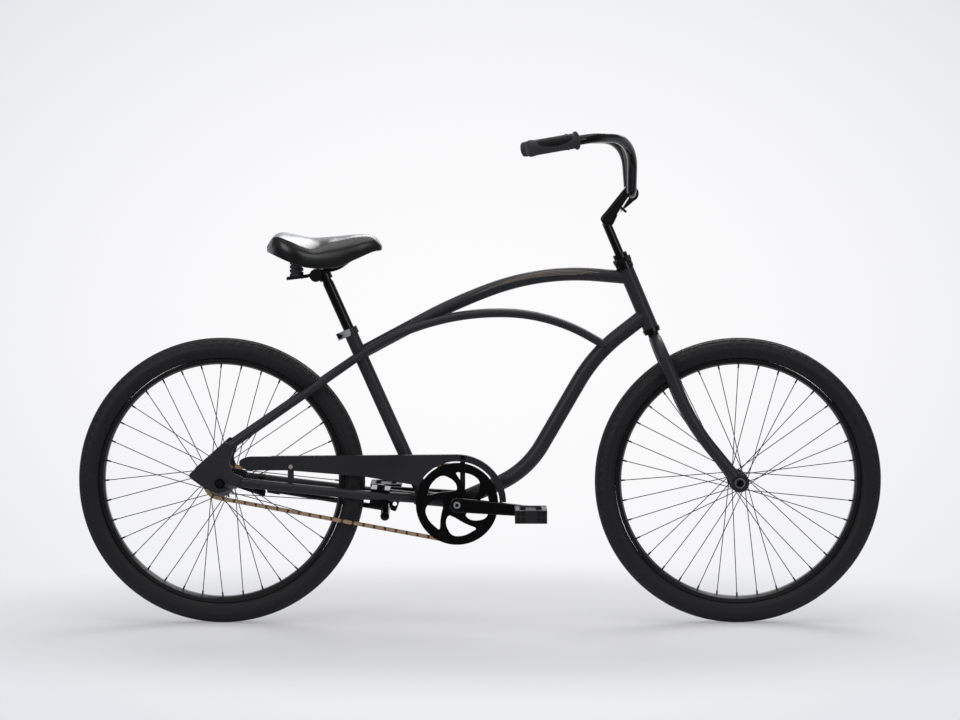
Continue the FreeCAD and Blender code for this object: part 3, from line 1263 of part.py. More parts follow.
def guard_arc(radius, first, last):
    return Part.Arc(polar(radius, first), polar(radius, (first + last) / 2), polar(radius, last))


# The plate's rounded front runs between two angles about the crank axis; three corners end it at the rear
arc_front, arc_rear = 2, 157
guard_peak = Vector(axle_away.x + 60, axle_away.z + 61.5, 0)
guard_tip = Vector(axle_away.x + 36, axle_away.z + 47.5, 0)
guard_heel = Vector(axle_away.x + 62, axle_away.z + 29, 0)
outer_r, inner_r = dim.guard_arc_outer, dim.guard_arc_inner
touch = math.degrees(math.atan2(guard_peak.y, guard_peak.x) - math.acos(outer_r / guard_peak.Length))
guard_edge = rounded(
    [polar(inner_r, arc_rear), beside_chain(0.19, 35.5), beside_chain(0.4, 44.5), beside_chain(0.72, 43),
     guard_heel, guard_tip, guard_peak, polar(outer_r, touch)],
    [0, 12, 300, 300, 12, 12, 60, 0],
)
guard_loop = guard_edge + [
    guard_arc(outer_r, touch, arc_front),
    Part.LineSegment(polar(outer_r, arc_front), polar(inner_r, arc_front)),
    guard_arc(inner_r, arc_front, arc_rear),
]
shelf_top = inner_r + dim.guard_shelf_lift
front_screw = Vector(13, shelf_top + 2.5, 0)
tab_share = dim.guard_tab_back / centre_distance
rear_screw = beside_chain(tab_share, 52)
screw_hole = "guard_screw_d / 2 + slip_gap"
guard_holes = [(front_screw, screw_hole), (rear_screw, screw_hole)]
guard_plate = plate("guard_plate", [guard_loop], guard_holes, "guard_wall", at_side(crank_axis, guard_y))
lip_start = guard_peak + (polar(outer_r, touch) - guard_peak) * 0.12
lip_r = outer_r - dim.guard_wall
lip_low = lip_start - polar(dim.guard_wall, touch)
lip_loop = [
    Part.LineSegment(lip_start, polar(outer_r, touch)),
    guard_arc(outer_r, touch, arc_front),
    Part.LineSegment(polar(outer_r, arc_front), polar(lip_r, arc_front)),
    guard_arc(lip_r, arc_front, touch),
    Part.LineSegment(polar(lip_r, touch), lip_low),
    Part.LineSegment(lip_low, lip_start),
]
guard_lip = plate("guard_lip", [lip_loop], [], "guard_lip", at_side(crank_axis, guard_y + dim.guard_lip))
node("chain_guard", fuse("chain_guard", guard_plate, guard_lip))


# The guard's front bracket is held under the right cup, its rear tab stands on the chainstay.
def in_guard(place, y):
    return Vector(crank_axis.x + place.x, y, crank_axis.z + place.y)


eye_y = -dim.shell_width / 2
strap_y = eye_y - dim.strap_wall / 2
eye_base = at_side(crank_axis, eye_y)
bracket_eye = cylinder("bracket_eye", "cup_flange_d / 2", "strap_wall", eye_base, -axis_y)
bracket_bore = cylinder("bracket_bore", "cup_d / 2 + slip_gap", "strap_wall", eye_base, -axis_y)
bracket_strap = block(
    "bracket_strap", "strap_width", "strap_wall", "guard_arc_inner + guard_shelf_lift - strap_low",
    in_guard(Vector(front_screw.x, dim.strap_low, 0), strap_y),
)
shelf_low = Vector(front_screw.x, shelf_top - dim.strap_wall, 0)
bracket_shelf = block(
    "bracket_shelf", "strap_width", "guard_inner - shell_width / 2", "strap_wall",
    in_guard(shelf_low, (eye_y + guard_y) / 2),
)
tab_y = guard_y + dim.strap_wall / 2
bracket_tab = block(
    "bracket_tab", "strap_width", "strap_wall", "guard_tab_height", in_guard(shelf_low, tab_y)
)
front_thread = cylinder("front_thread", screw_hole, "strap_wall", in_guard(front_screw, guard_y), axis_y)
front_bracket = cut(
    "front_bracket", fuse("front_bracket", bracket_eye, bracket_strap, bracket_shelf, bracket_tab),
    bracket_bore, front_thread,
)
tab_foot = beside_chain(tab_share, 0)
rear_tab = block(
    "rear_tab", "1.2 * strap_width", "strap_wall", "guard_post_height", in_guard(tab_foot, tab_y)
)
rear_thread = cylinder("rear_thread", screw_hole, "strap_wall", in_guard(rear_screw, guard_y), axis_y)
rear_bracket = cut("rear_bracket", rear_tab, stay_solids[-1][0], rear_thread)
node("guard_bracket", group("guard_bracket", front_bracket, rear_bracket))


def guard_screw(place):
    face = in_guard(place, guard_y - dim.guard_wall)
    shank = cylinder("guard_shank", "guard_screw_d / 2", "guard_wall + strap_wall", face, axis_y)
    head = cylinder("guard_head", "guard_screw_head_d / 2", "guard_wall", face, -axis_y)
    return fuse("guard_screw", shank, head)


fasteners += [guard_screw(front_screw), guard_screw(rear_screw)]

# Brake arm from the rear axle to a strap round the left chainstay
arm_way = heading(-dim.brake_arm_angle)
arm_end = rear_axle_point + arm_way * dim.brake_arm_reach
arm_outer = brake_arm_inner + dim.brake_arm_wall
arm_turn = side_view.multiply(Rotation(axis_z, -dim.brake_arm_angle))
arm_width = dim.brake_arm_width
arm_half = arm_width / 2
arm_head = 0.7 * arm_width
arm_tip = dim.brake_arm_reach + arm_half
arm_neck_round = 40
arm_loop = rounded(
    flat_points([
        (-arm_head, -arm_head), (arm_head, -arm_head), (arm_tip, -arm_half), (arm_tip, arm_half),
        (arm_head, arm_head), (-arm_head, arm_head),
    ]),
    [arm_half, arm_neck_round, arm_half, arm_half, arm_neck_round, arm_half], closed=True,
)
arm_holes = [
    (Vector(), "axle_d / 2 + slip_gap"), (Vector(dim.brake_arm_reach, 0, 0), "collar_bolt_d / 2 + slip_gap")
]
node("brake_arm", plate(
    "brake_arm", [arm_loop], arm_holes, "brake_arm_wall", at_side(rear_axle_point, arm_outer), arm_turn
))
left_solid, left_stay = stay_solids[1]
stay_way = (left_stay[2] - left_stay[1]).normalize()
band_middle = left_stay[1] + stay_way * ((arm_end.x - left_stay[1].x) / stay_way.x)
band = cylinder(
    "band", "chainstay_d / 2 + band_wall", "band_width", band_middle - stay_way * dim.band_width / 2,
    stay_way,
)
ear_height = band_middle.z - arm_end.z + arm_half
band_ears = [
    block("band_ear", "band_width", "band_wall", f"{ear_height}",
          Vector(arm_end.x, y, arm_end.z - arm_half))
    for y in (brake_arm_inner - dim.band_wall / 2, arm_outer + dim.band_wall / 2)
]
ear_hole = cylinder(
    "ear_hole", "collar_bolt_d / 2 + slip_gap", "4 * brake_arm_wall + 4 * band_wall",
    at_side(arm_end, brake_arm_inner - dim.brake_arm_wall - 2 * dim.band_wall),
)
strap_body = fuse("brake_arm_strap", band, *band_ears)
node("brake_arm_strap", cut("brake_arm_strap", strap_body, left_solid, ear_hole))
fasteners.append(cross_bolt(
    "strap_bolt", at_side(arm_end, brake_arm_inner + dim.brake_arm_wall / 2), "collar_bolt_d",
    "brake_arm_wall + 2 * band_wall",
))


# Seatpost with a thinner neck, closed at its top
post_base = seat_top - seat_up * dim.post_depth
post_top = seat_top + seat_up * dim.post_exposed
post_length = "post_depth + post_exposed"
post_shoulder = "post_depth + post_exposed - post_neck"
node("seatpost", turned("seatpost", [
    ("0", "post_d / 2 - post_wall"), ("0", "post_d / 2"), (post_shoulder, "post_d / 2"),
    (f"{post_shoulder} + post_wall", "post_neck_d / 2"), (post_length, "post_neck_d / 2"),
    (post_length, "0"),
    (f"{post_length} - post_wall", "0"), (f"{post_length} - post_wall", "post_neck_d / 2 - post_wall"),
    (f"{post_shoulder} - post_wall", "post_neck_d / 2 - post_wall"),
    (f"{post_shoulder} - 2 * post_wall", "post_d / 2 - post_wall"),
], post_base, seat_up))

# Saddle clamp on the neck, with a lug whose cross bolt is the saddle's tilt axis
saddle_pivot = post_top - seat_ahead * dim.saddle_pivot_back - seat_up * dim.saddle_pivot_down
clamp_base = post_top - seat_up * dim.saddle_clamp_height
clamp_ring = cylinder("clamp_ring", "saddle_clamp_d / 2", "saddle_clamp_height", clamp_base, seat_up)
lug_right = saddle_pivot - axis_y * dim.saddle_clamp_d / 2
clamp_lug = cylinder("clamp_lug", "saddle_lug_d / 2", "saddle_clamp_d", lug_right)
neck_bore = cylinder(
    "neck_bore", "post_neck_d / 2 + shaft_gap", "2 * saddle_clamp_height", clamp_base, seat_up
)
lug_bore = cylinder("lug_bore", "saddle_bolt_d / 2 + shaft_gap", "saddle_clamp_d", lug_right)
clamp_body = fuse("saddle_clamp", clamp_ring, clamp_lug)
node("saddle_clamp", cut("saddle_clamp", clamp_body, neck_bore, lug_bore))

# Saddle stations along X from the pivot: (ahead, bottom, top, half width)
saddle_stations = [
    (-110, 56, 72, 70), (-91, 49, 98, 105), (-51, 32, 95, 122), (-11, 20, 88, 112),
    (49, 20, 90, 82), (94, 38, 95, 55), (134, 55, 92, 34), (151, 57, 72, 20),
]


def section_point(ahead, y, z):
    return saddle_pivot + Vector(ahead, y, z)


# How deep the pad's recess is at a station: shallower where the pad is thin
def recess_depth(bottom, top):
    return min(dim.pad_lip_height, 0.45 * (top - bottom))


# The pad's section: a crowned top, drawn-in sides and a lip round the recess for the base
def pad_section(ahead, bottom, top, half):
    def at(y, z):
        return section_point(ahead, y, z)

    inner = half - dim.pad_lip
    ceiling = bottom + recess_depth(bottom, top)
    foot = half - 0.3 * dim.pad_lip
    tall = top - bottom
    waist, shoulder = bottom + 0.45 * tall, top - 0.24 * tall
    edges = [
        Part.LineSegment(at(inner, ceiling), at(-inner, ceiling)),
        Part.LineSegment(at(-inner, ceiling), at(-inner, bottom)),
        Part.LineSegment(at(-inner, bottom), at(-foot, bottom)),
        Part.Arc(at(-foot, bottom), at(-half, waist), at(-0.88 * half, shoulder)),
        Part.Arc(at(-0.88 * half, shoulder), at(-0.5 * half, top - 0.06 * tall), at(0, top)),
        Part.Arc(at(0, top), at(0.5 * half, top - 0.06 * tall), at(0.88 * half, shoulder)),
        Part.Arc(at(0.88 * half, shoulder), at(half, waist), at(foot, bottom)),
        Part.LineSegment(at(foot, bottom), at(inner, bottom)),
        Part.LineSegment(at(inner, bottom), at(inner, ceiling)),
    ]
    return Part.Wire([edge.toShape() for edge in edges])


def base_section(ahead, bottom, top, half, extra=0):
    inner = half - dim.pad_lip - dim.part_gap
    high = bottom + recess_depth(bottom, top) - dim.part_gap
    low = high - dim.base_wall
    high = high + extra
    corners = [
        section_point(ahead, inner, high), section_point(ahead, -inner, high),
        section_point(ahead, -inner, low), section_point(ahead, inner, low),
    ]
    return Part.makePolygon(corners + corners[:1])


def saddle_loft(name, section, *more):
    return made(name, Part.makeLoft([section(*row, *more) for row in saddle_stations], True, False))


node("saddle_pad", saddle_loft("pad_loft", pad_section))
node("saddle_base", saddle_loft("base_loft", base_section))
# Everything above the base's underside, which trims what stands up against it
above_base = saddle_loft("above_base", base_section, dim.bumper_d)


# Rails under the base, held by two discs on the clamp bolt
def rail(side):
    places = [(-68, -8), (-18, -2), (2, 9), (49, 13), (122, 66)]
    points = [section_point(ahead, side * dim.rail_half, z) for ahead, z in places]
    return bar("saddle_rail", points, [0, 30, 30, 60, 0], "rail_d / 2")


rails = [rail(side) for side in (-1, 1)]
disc_inner = dim.saddle_clamp_d / 2 + dim.part_gap
disc_outer = dim.rail_half + dim.rail_d / 2 + dim.rail_disc_margin
bolt_half = "rail_half + rail_d / 2 + saddle_bolt_d"
pivot_bolt = cylinder(
    "pivot_bolt", "saddle_bolt_d / 2", f"2 * ({bolt_half})", saddle_pivot - axis_y * worth(bolt_half)
)
disc_wall = "rail_half + rail_d / 2 + rail_disc_margin - saddle_clamp_d / 2 - part_gap"
discs = [
    cylinder("rail_disc", "rail_disc_d / 2", disc_wall, saddle_pivot + out * disc_inner, out)
    for out in (axis_y, -axis_y)
]
pivot_nuts = [
    hexagon("pivot_nut", "1.6 * saddle_bolt_d", "0.6 * saddle_bolt_d", saddle_pivot + out * disc_outer, out)
    for out in (axis_y, -axis_y)
]
disc_set = cut("disc_set", fuse("disc_set", pivot_bolt, *discs, *pivot_nuts), *rails)
rail_parts = [cut("rail_end", item, above_base) for item in rails]

# Elastomer bumpers between a cross plate on the rails and the base
bumper_ahead, plate_low = -dim.bumper_back, -dim.bumper_plate_drop
cross_plate = block(
    "cross_plate", "1.4 * bumper_d", "2 * bumper_half + bumper_d", "base_wall",
    section_point(bumper_ahead, 0, plate_low),
)
node("saddle_rails", group("saddle_rails", *rail_parts, disc_set, cut("cross_plate", cross_plate, *rails)))


def bumper(side):
    foot = section_point(bumper_ahead, side * dim.bumper_half, plate_low + dim.base_wall)
    core = cylinder("bumper_core", "0.38 * bumper_d", "2.2 * bumper_d", foot, axis_z)
    step = dim.bumper_d * 0.36
    rings = [
        cylinder("bumper_ring", "bumper_d / 2", "0.27 * bumper_d", foot + axis_z * step * i, axis_z)
        for i in range(4)
    ]
    return cut("bumper", fuse("bumper", core, *rings), above_base)


node("saddle_bumpers", group("saddle_bumpers", bumper(-1), bumper(1)))

# Kickstand: a plate over and a head under the chainstays, clamped by one bolt
stay_turn = Rotation(axis_y, math.degrees(math.atan2(along_stays.z, -along_stays.x)))
stay_up = stay_turn.multVec(axis_z)
stay_ahead = stay_turn.multVec(axis_x)
stand_back = centre_distance - wheel_r - dim.kickstand_plate_length / 2 - dim.kickstand_tyre_gap
stand_middle = crank_axis + along_stays * stand_back
tube_r = dim.chainstay_d / 2
upper_plate = block(
    "upper_plate", "kickstand_plate_length", "2 * kickstand_plate_half", "kickstand_plate_wall",
    stand_middle + stay_up * tube_r, stay_turn,
)
lower_head = block(
    "lower_head", "kickstand_plate_length", "2 * kickstand_plate_half", "kickstand_head_depth",
    stand_middle - stay_up * (tube_r + dim.kickstand_head_depth), stay_turn,
)
stand_hole = cylinder(
    "stand_hole", "kickstand_bolt_d / 2 + slip_gap", "2 * chainstay_d + 2 * kickstand_head_depth",
    stand_middle - stay_up * (2 * tube_r + dim.kickstand_head_depth), stay_up,
)
tilt = math.radians(dim.kickstand_tilt)
pivot_way = Vector(0, math.cos(tilt), math.sin(tilt))
stand_pivot = stand_middle + stay_ahead * dim.kickstand_pivot_ahead - stay_up * dim.kickstand_pivot_drop
stand_pivot = stand_pivot + axis_y * dim.kickstand_pivot_half
eye_half = dim.kickstand_leg_d / 2 + dim.kickstand_eye_margin
eye_radius = "kickstand_cheek / 2 + kickstand_eye_wall"
boss = cylinder(
    "stand_boss", eye_radius, "kickstand_pivot_half", stand_pivot - pivot_way * (eye_half + dim.part_gap),
    -pivot_way,
)
web_ahead = dim.kickstand_pivot_ahead - dim.kickstand_web_back
web_drop = dim.kickstand_pivot_drop - dim.kickstand_web_lift
web = block(
    "stand_web", "kickstand_cheek", "kickstand_pivot_half / 2",
    "kickstand_pivot_drop - chainstay_d / 2 - kickstand_web_lift",
    stand_middle + stay_ahead * web_ahead - stay_up * web_drop + axis_y * dim.kickstand_pivot_half / 4,
    stay_turn,
)
pin_length = "kickstand_leg_d + 2 * kickstand_eye_margin + 3 * part_gap"
pin = cylinder(
    "stand_pin", "kickstand_pivot_d / 2", f"{pin_length} + part_gap",
    stand_pivot - pivot_way * (eye_half + 2 * dim.part_gap), pivot_way,
)
pin_head = cylinder(
    "stand_pin_head", "0.8 * kickstand_pivot_d", "kickstand_pin_head",
    stand_pivot + pivot_way * (eye_half + dim.part_gap), pivot_way,
)
# A pierced lug hangs from the head's front
lug_corners = flat_points([(18, -12), (46, -14), (36, -40), (24, -36)])
lug_loop = rounded(lug_corners, [2, 4, 4, 4], closed=True)
lug_hole = (Vector(34, -22, 0), "kickstand_pivot_d / 2")
lug_plate = plate("stand_lug", [lug_loop], [lug_hole], "kickstand_plate_wall", stand_middle)
head_parts = fuse("stand_head", lower_head, boss, web, pin, pin_head, lug_plate)
node("kickstand_bracket", group(
    "kickstand_bracket",
    cut("upper_plate", upper_plate, stand_hole), cut("stand_head", head_parts, stand_hole),
))
stand_bolt_head = hexagon(
    "stand_bolt_head", "1.6 * kickstand_bolt_d", "0.7 * kickstand_bolt_d",
    stand_middle + stay_up * (tube_r + dim.kickstand_plate_wall), stay_up,
)
stand_bolt_shank = cylinder(
    "stand_bolt_shank", "kickstand_bolt_d / 2", "chainstay_d + kickstand_plate_wall + kickstand_head_depth",
    stand_middle + stay_up * (tube_r + dim.kickstand_plate_wall), -stay_up,
)
fasteners.append(fuse("stand_bolt", stand_bolt_head, stand_bolt_shank))
node("frame_fasteners", group("frame_fasteners", *fasteners))

# Kickstand leg, folded back under the left chainstay, with a rubber foot
yaw, lift = math.radians(dim.kickstand_yaw), math.radians(dim.kickstand_lift)
leg_way = Vector(-math.cos(lift) * math.cos(yaw), math.cos(lift) * math.sin(yaw), math.sin(lift))
leg_eye = cylinder(
    "leg_eye", eye_radius, "kickstand_leg_d + 2 * kickstand_eye_margin", stand_pivot - pivot_way * eye_half,
    pivot_way,
)
leg_rod = cylinder("leg_rod", "kickstand_leg_d / 2", "kickstand_leg_length", stand_pivot, leg_way)
leg_bore = cylinder(
    "leg_bore", "kickstand_pivot_d / 2 + shaft_gap", "3 * kickstand_leg_d",
    stand_pivot - pivot_way * 3 * eye_half, pivot_way,
)
leg = cut("leg", fuse("leg", leg_eye, leg_rod), leg_bore)
foot_place = dim.kickstand_leg_length - dim.kickstand_foot_length + dim.kickstand_foot_wall
foot_base = stand_pivot + leg_way * foot_place
foot = cylinder("leg_foot", "kickstand_foot_d / 2", "kickstand_foot_length", foot_base, leg_way)
node("kickstand_leg", group("kickstand_leg", leg, cut("leg_foot", foot, leg_rod)))

# Every object must have been made without an error before anything is written.
doc.recompute()
for item in doc.Objects:
    if "Invalid" in item.State or "Error" in item.State:
        raise RuntimeError(f"{item.Name} could not be made: {item.State}")
for label, item in nodes.items():
    if item.Label != label:
        raise RuntimeError(f"{label} is already the name of another object")
    if item.Shape.isNull() or not item.Shape.isValid() or not item.Shape.Solids:
        raise RuntimeError(f"{label} has no sound solid")

os.makedirs("parts", exist_ok=True)
for label, item in nodes.items():
    item.Shape.exportStep(f"parts/{label}.step")
    print(f"{label}: {len(item.Shape.Solids)} solids, {item.Shape.Volume / 1000:.1f} cm3")
print(len(nodes), "sub-parts")
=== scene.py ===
import math

import bpy
from mathutils import Matrix, Vector


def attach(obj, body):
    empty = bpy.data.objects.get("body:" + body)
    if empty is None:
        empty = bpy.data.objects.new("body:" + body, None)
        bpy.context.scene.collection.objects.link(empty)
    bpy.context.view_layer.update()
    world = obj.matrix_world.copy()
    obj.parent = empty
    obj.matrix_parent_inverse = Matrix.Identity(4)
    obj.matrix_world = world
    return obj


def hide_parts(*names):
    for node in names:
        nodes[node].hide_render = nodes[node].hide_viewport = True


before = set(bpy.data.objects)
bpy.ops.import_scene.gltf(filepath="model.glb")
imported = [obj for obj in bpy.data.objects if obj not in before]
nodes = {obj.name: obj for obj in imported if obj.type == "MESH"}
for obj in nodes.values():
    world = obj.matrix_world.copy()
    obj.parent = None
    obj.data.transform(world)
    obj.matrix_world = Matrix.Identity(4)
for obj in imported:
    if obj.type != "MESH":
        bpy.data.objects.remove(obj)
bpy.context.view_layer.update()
bpy.ops.object.select_all(action="DESELECT")
print("frame loaded with", len(nodes), "nodes")


# sRGB hex to the linear colour that the sockets want
def hexColor(code):
    parts = [int(code[i:i + 2], 16) / 255 for i in (1, 3, 5)]
    return [p / 12.92 if p <= 0.04045 else ((p + 0.055) / 1.055) ** 2.4 for p in parts] + [1]


def perMm(size):
    return 1000 / size  # texture scale whose pattern repeats about every size mm


# adds a node: settings are its options, values its sockets, which take numbers or other sockets
def addNode(tree, kind, values=None, **settings):
    made = tree.nodes.new(kind)
    for key, value in settings.items():
        setattr(made, key, value)
    for key, value in (values or {}).items():
        if isinstance(value, bpy.types.NodeSocket):
            tree.links.new(value, made.inputs[key])
        else:
            made.inputs[key].default_value = value
    return made


def newMaterial(name):
    material = bpy.data.materials.new(name)
    material.use_nodes = True
    tree = material.node_tree
    tree.nodes.clear()
    shader = addNode(tree, "ShaderNodeBsdfPrincipled")
    addNode(tree, "ShaderNodeOutputMaterial", {"Surface": shader.outputs[0]})
    where = addNode(tree, "ShaderNodeTexCoord").outputs["Object"]
    return material, tree, shader, where


# what every look shares unless it says otherwise
plain = {"driftDetail": 4, "driftFrom": 0.3, "driftTo": 0.7, "grainDetail": 2, "metallic": 0, "ior": 1.5,
         "shine": 0.5, "coat": 0, "coatRough": 0.05, "cells": False}


# a surface with drifting shade, uneven gloss and a fine grain, all from the look's own sizes
def surface(name, ownLook):
    look = {**plain, **ownLook}
    material, tree, shader, where = newMaterial(name)
    drift = addNode(tree, "ShaderNodeTexNoise", {
        "Vector": where, "Scale": perMm(look["driftMm"]), "Detail": look["driftDetail"]})
    shade = addNode(tree, "ShaderNodeMix", {
        0: drift.outputs[0], 6: hexColor(look["dark"]), 7: hexColor(look["light"])}, data_type="RGBA")
    gloss = addNode(tree, "ShaderNodeMapRange", {
        "Value": drift.outputs[0], "From Min": look["driftFrom"], "From Max": look["driftTo"],
        "To Min": look["rough"][0], "To Max": look["rough"][1]})
    if look["cells"]:  # leather and vinyl: rounded pebbles between fine valleys
        grain = addNode(tree, "ShaderNodeTexVoronoi", {"Vector": where, "Scale": perMm(look["grainMm"])},
                        feature="SMOOTH_F1")
    else:
        grain = addNode(tree, "ShaderNodeTexNoise", {
            "Vector": where, "Scale": perMm(look["grainMm"]), "Detail": look["grainDetail"]})
    bump = addNode(tree, "ShaderNodeBump", {
        "Height": grain.outputs[0], "Strength": look["grainShows"],
        "Distance": look["grainDepthMm"] / 1000})
    tree.links.new(shade.outputs[2], shader.inputs["Base Color"])
    tree.links.new(gloss.outputs[0], shader.inputs["Roughness"])
    tree.links.new(bump.outputs[0], shader.inputs["Normal"])
    shader.inputs["Metallic"].default_value = look["metallic"]
    if not look["metallic"]:
        shader.inputs["IOR"].default_value = look["ior"]
        shader.inputs["Specular IOR Level"].default_value = look["shine"]
    shader.inputs["Coat Weight"].default_value = look["coat"]
    shader.inputs["Coat Roughness"].default_value = look["coatRough"]
    return {"material": material, "tree": tree, "shader": shader, "where": where,
            "shade": shade.outputs[2]}


looks = {
    # polyester powder coat, baked: flat charcoal with a faint orange peel
    "satinPowderCoat": {"dark": "#242427", "light": "#2d2d30", "driftMm": 60, "rough": (0.38, 0.46),
                        "shine": 0.3, "grainMm": 1.6, "grainShows": 0.25, "grainDepthMm": 0.05},
    # the same coat on pressed sheet, a little greyer where the flat face takes the light
    "sheetPowderCoat": {"dark": "#202024", "light": "#29292d", "driftMm": 90, "rough": (0.4, 0.5),
                        "shine": 0.3, "grainMm": 1.6, "grainShows": 0.25, "grainDepthMm": 0.05},
    # stoved black enamel on bent tube and forgings: deep and mirror-like
    "blackEnamel": {"dark": "#070708", "light": "#0b0b0c", "driftMm": 50, "rough": (0.06, 0.1),
                    "shine": 0.3, "grainMm": 3, "grainShows": 0.05, "grainDepthMm": 0.04},
    # painted aluminium hoop, half gloss
    "rimPaint": {"dark": "#0f0f10", "light": "#151517", "driftMm": 40, "rough": (0.26, 0.34),
                 "shine": 0.35, "grainMm": 2, "grainShows": 0.12, "grainDepthMm": 0.03},
    # drawn stainless wire, blackened
    "drawnWire": {"dark": "#2c2d30", "light": "#424346", "driftMm": 25, "rough": (0.3, 0.42),
                  "grainMm": 0.8, "grainShows": 0.1, "grainDepthMm": 0.02, "metallic": 1},
    # zinc-plated steel: pale, slightly clouded
    "zincPlate": {"dark": "#9c9da0", "light": "#c3c4c6", "driftMm": 6, "rough": (0.24, 0.38),
                  "grainMm": 0.7, "grainShows": 0.12, "grainDepthMm": 0.02, "metallic": 1},
    # blackened steel with an oil film: teeth, nuts and bolts
    "blackedSteel": {"dark": "#1e1e20", "light": "#2d2d2f", "driftMm": 15, "rough": (0.3, 0.42),
                     "grainMm": 0.9, "grainShows": 0.12, "grainDepthMm": 0.02, "metallic": 1},
    # bare steel worn bright on its edges: teeth and chain plates
    "wornSteel": {"dark": "#5c5d60", "light": "#85868a", "driftMm": 8, "rough": (0.34, 0.48),
                  "grainMm": 0.8, "grainShows": 0.15, "grainDepthMm": 0.03, "metallic": 0.4},
    # butyl and natural rubber, moulded: dull with a bloom
    "tyreRubber": {"dark": "#161618", "light": "#1e1e21", "driftMm": 35, "rough": (0.5, 0.62),
                   "shine": 0.3, "grainMm": 1.2, "grainShows": 0.3, "grainDepthMm": 0.06},
    # soft thermoplastic rubber, dusty matte
    "gripRubber": {"dark": "#2c2c2f", "light": "#37373a", "driftMm": 20, "rough": (0.6, 0.72),
                   "shine": 0.3, "grainMm": 0.9, "grainShows": 0.35, "grainDepthMm": 0.06},
    # the grips' palm inlay: a denser, smoother rubber
    "palmRubber": {"dark": "#0c0c0d", "light": "#111112", "driftMm": 20, "rough": (0.5, 0.6),
                   "shine": 0.15, "grainMm": 0.7, "grainShows": 0.2, "grainDepthMm": 0.04},
    # embossed vinyl over foam: fine pebbles with a waxy shine
    "saddleVinyl": {"dark": "#0e0e10", "light": "#141416", "driftMm": 45, "rough": (0.26, 0.34),
                    "cells": True, "shine": 0.4, "grainMm": 1.4, "grainShows": 0.12, "grainDepthMm": 0.04,
                    "coat": 0.45, "coatRough": 0.24},
    # injection-moulded polypropylene with spark-eroded texture
    "mouldedPlastic": {"dark": "#1b1b1d", "light": "#252527", "driftMm": 18, "rough": (0.4, 0.52),
                       "shine": 0.35, "grainMm": 0.8, "grainShows": 0.25, "grainDepthMm": 0.04},
    # grey grit-filled rubber that shoes stand on
    "treadRubber": {"dark": "#7c7d80", "light": "#9a9b9d", "driftMm": 5, "rough": (0.7, 0.8),
                    "shine": 0.3, "grainMm": 1.1, "grainShows": 0.6, "grainDepthMm": 0.15},
    # amber acrylic with moulded prisms behind a clear face
    "amberAcrylic": {"dark": "#b85a08", "light": "#f0941c", "driftMm": 4, "rough": (0.1, 0.18),
                     "cells": True, "grainMm": 2.2, "grainShows": 0.5, "grainDepthMm": 0.3, "ior": 1.49,
                     "coat": 0.6},
}
finishes = {name: surface(name, look) for name, look in looks.items()}
print("materials made:", len(finishes))

wearing = {
    "satinPowderCoat": ["head_tube", "seat_tube", "bottom_bracket_shell", "down_tube", "rear_dropouts",
                        "left_twin_stay", "right_twin_stay", "left_chainstay", "right_chainstay",
                        "left_fork_blade", "right_fork_blade"],
    "sheetPowderCoat": ["chain_guard", "guard_bracket"],
    "blackEnamel": ["right_crank_arm", "left_crank_arm", "chainring_spider", "handlebar", "stem", "seatpost",
                    "saddle_clamp", "headset_nuts", "bearing_cups", "brake_arm", "kickstand_bracket",
                    "kickstand_leg", "front_hub", "rear_hub", "saddle_rails", "brake_arm_strap"],
    "rimPaint": ["front_rim", "rear_rim"],
    "drawnWire": ["front_spokes", "rear_spokes"],
    "zincPlate": ["bottom_bracket_spindle", "pedal_axles"],
    "blackedSteel": ["chainring", "steerer", "rear_axle", "front_axle", "stem_bolts"],
    "wornSteel": ["rear_sprocket"],
    "tyreRubber": ["front_inner_tube", "rear_inner_tube"],
    "gripRubber": ["saddle_bumpers"],
    "mouldedPlastic": ["saddle_base"],
    "amberAcrylic": ["right_pedal_reflectors", "left_pedal_reflectors"],
}


def dress(piece, *materials):
    piece.data.materials.clear()
    for material in materials:
        piece.data.materials.append(material)


for name, dressed in wearing.items():
    for node in dressed:
        dress(nodes[node], finishes[name]["material"])


# a surface with other colours in rings about lines across the bicycle, radii in metres
def ringed(name, look, spots):
    made = surface(name, looks[look])
    tree = made["tree"]
    side = addNode(tree, "ShaderNodeVectorMath", {0: made["where"], 1: (1, 0, 1)}, operation="MULTIPLY")
    color = made["shade"]
    for centre, inner, outer, ring in spots:
        reach = addNode(tree, "ShaderNodeVectorMath", {0: side.outputs[0], 1: centre}, operation="DISTANCE")
        reach = reach.outputs["Value"]
        within = addNode(tree, "ShaderNodeMath", {0: reach, 1: outer}, operation="LESS_THAN")
        beyond = addNode(tree, "ShaderNodeMath", {0: reach, 1: inner}, operation="GREATER_THAN")
        both = addNode(tree, "ShaderNodeMath", {0: within.outputs[0], 1: beyond.outputs[0]},
                       operation="MULTIPLY")
        color = addNode(tree, "ShaderNodeMix", {
            0: both.outputs[0], 6: color, 7: hexColor(ring)}, data_type="RGBA").outputs[2]
    tree.links.new(color, made["shader"].inputs["Base Color"])
    return made["material"]


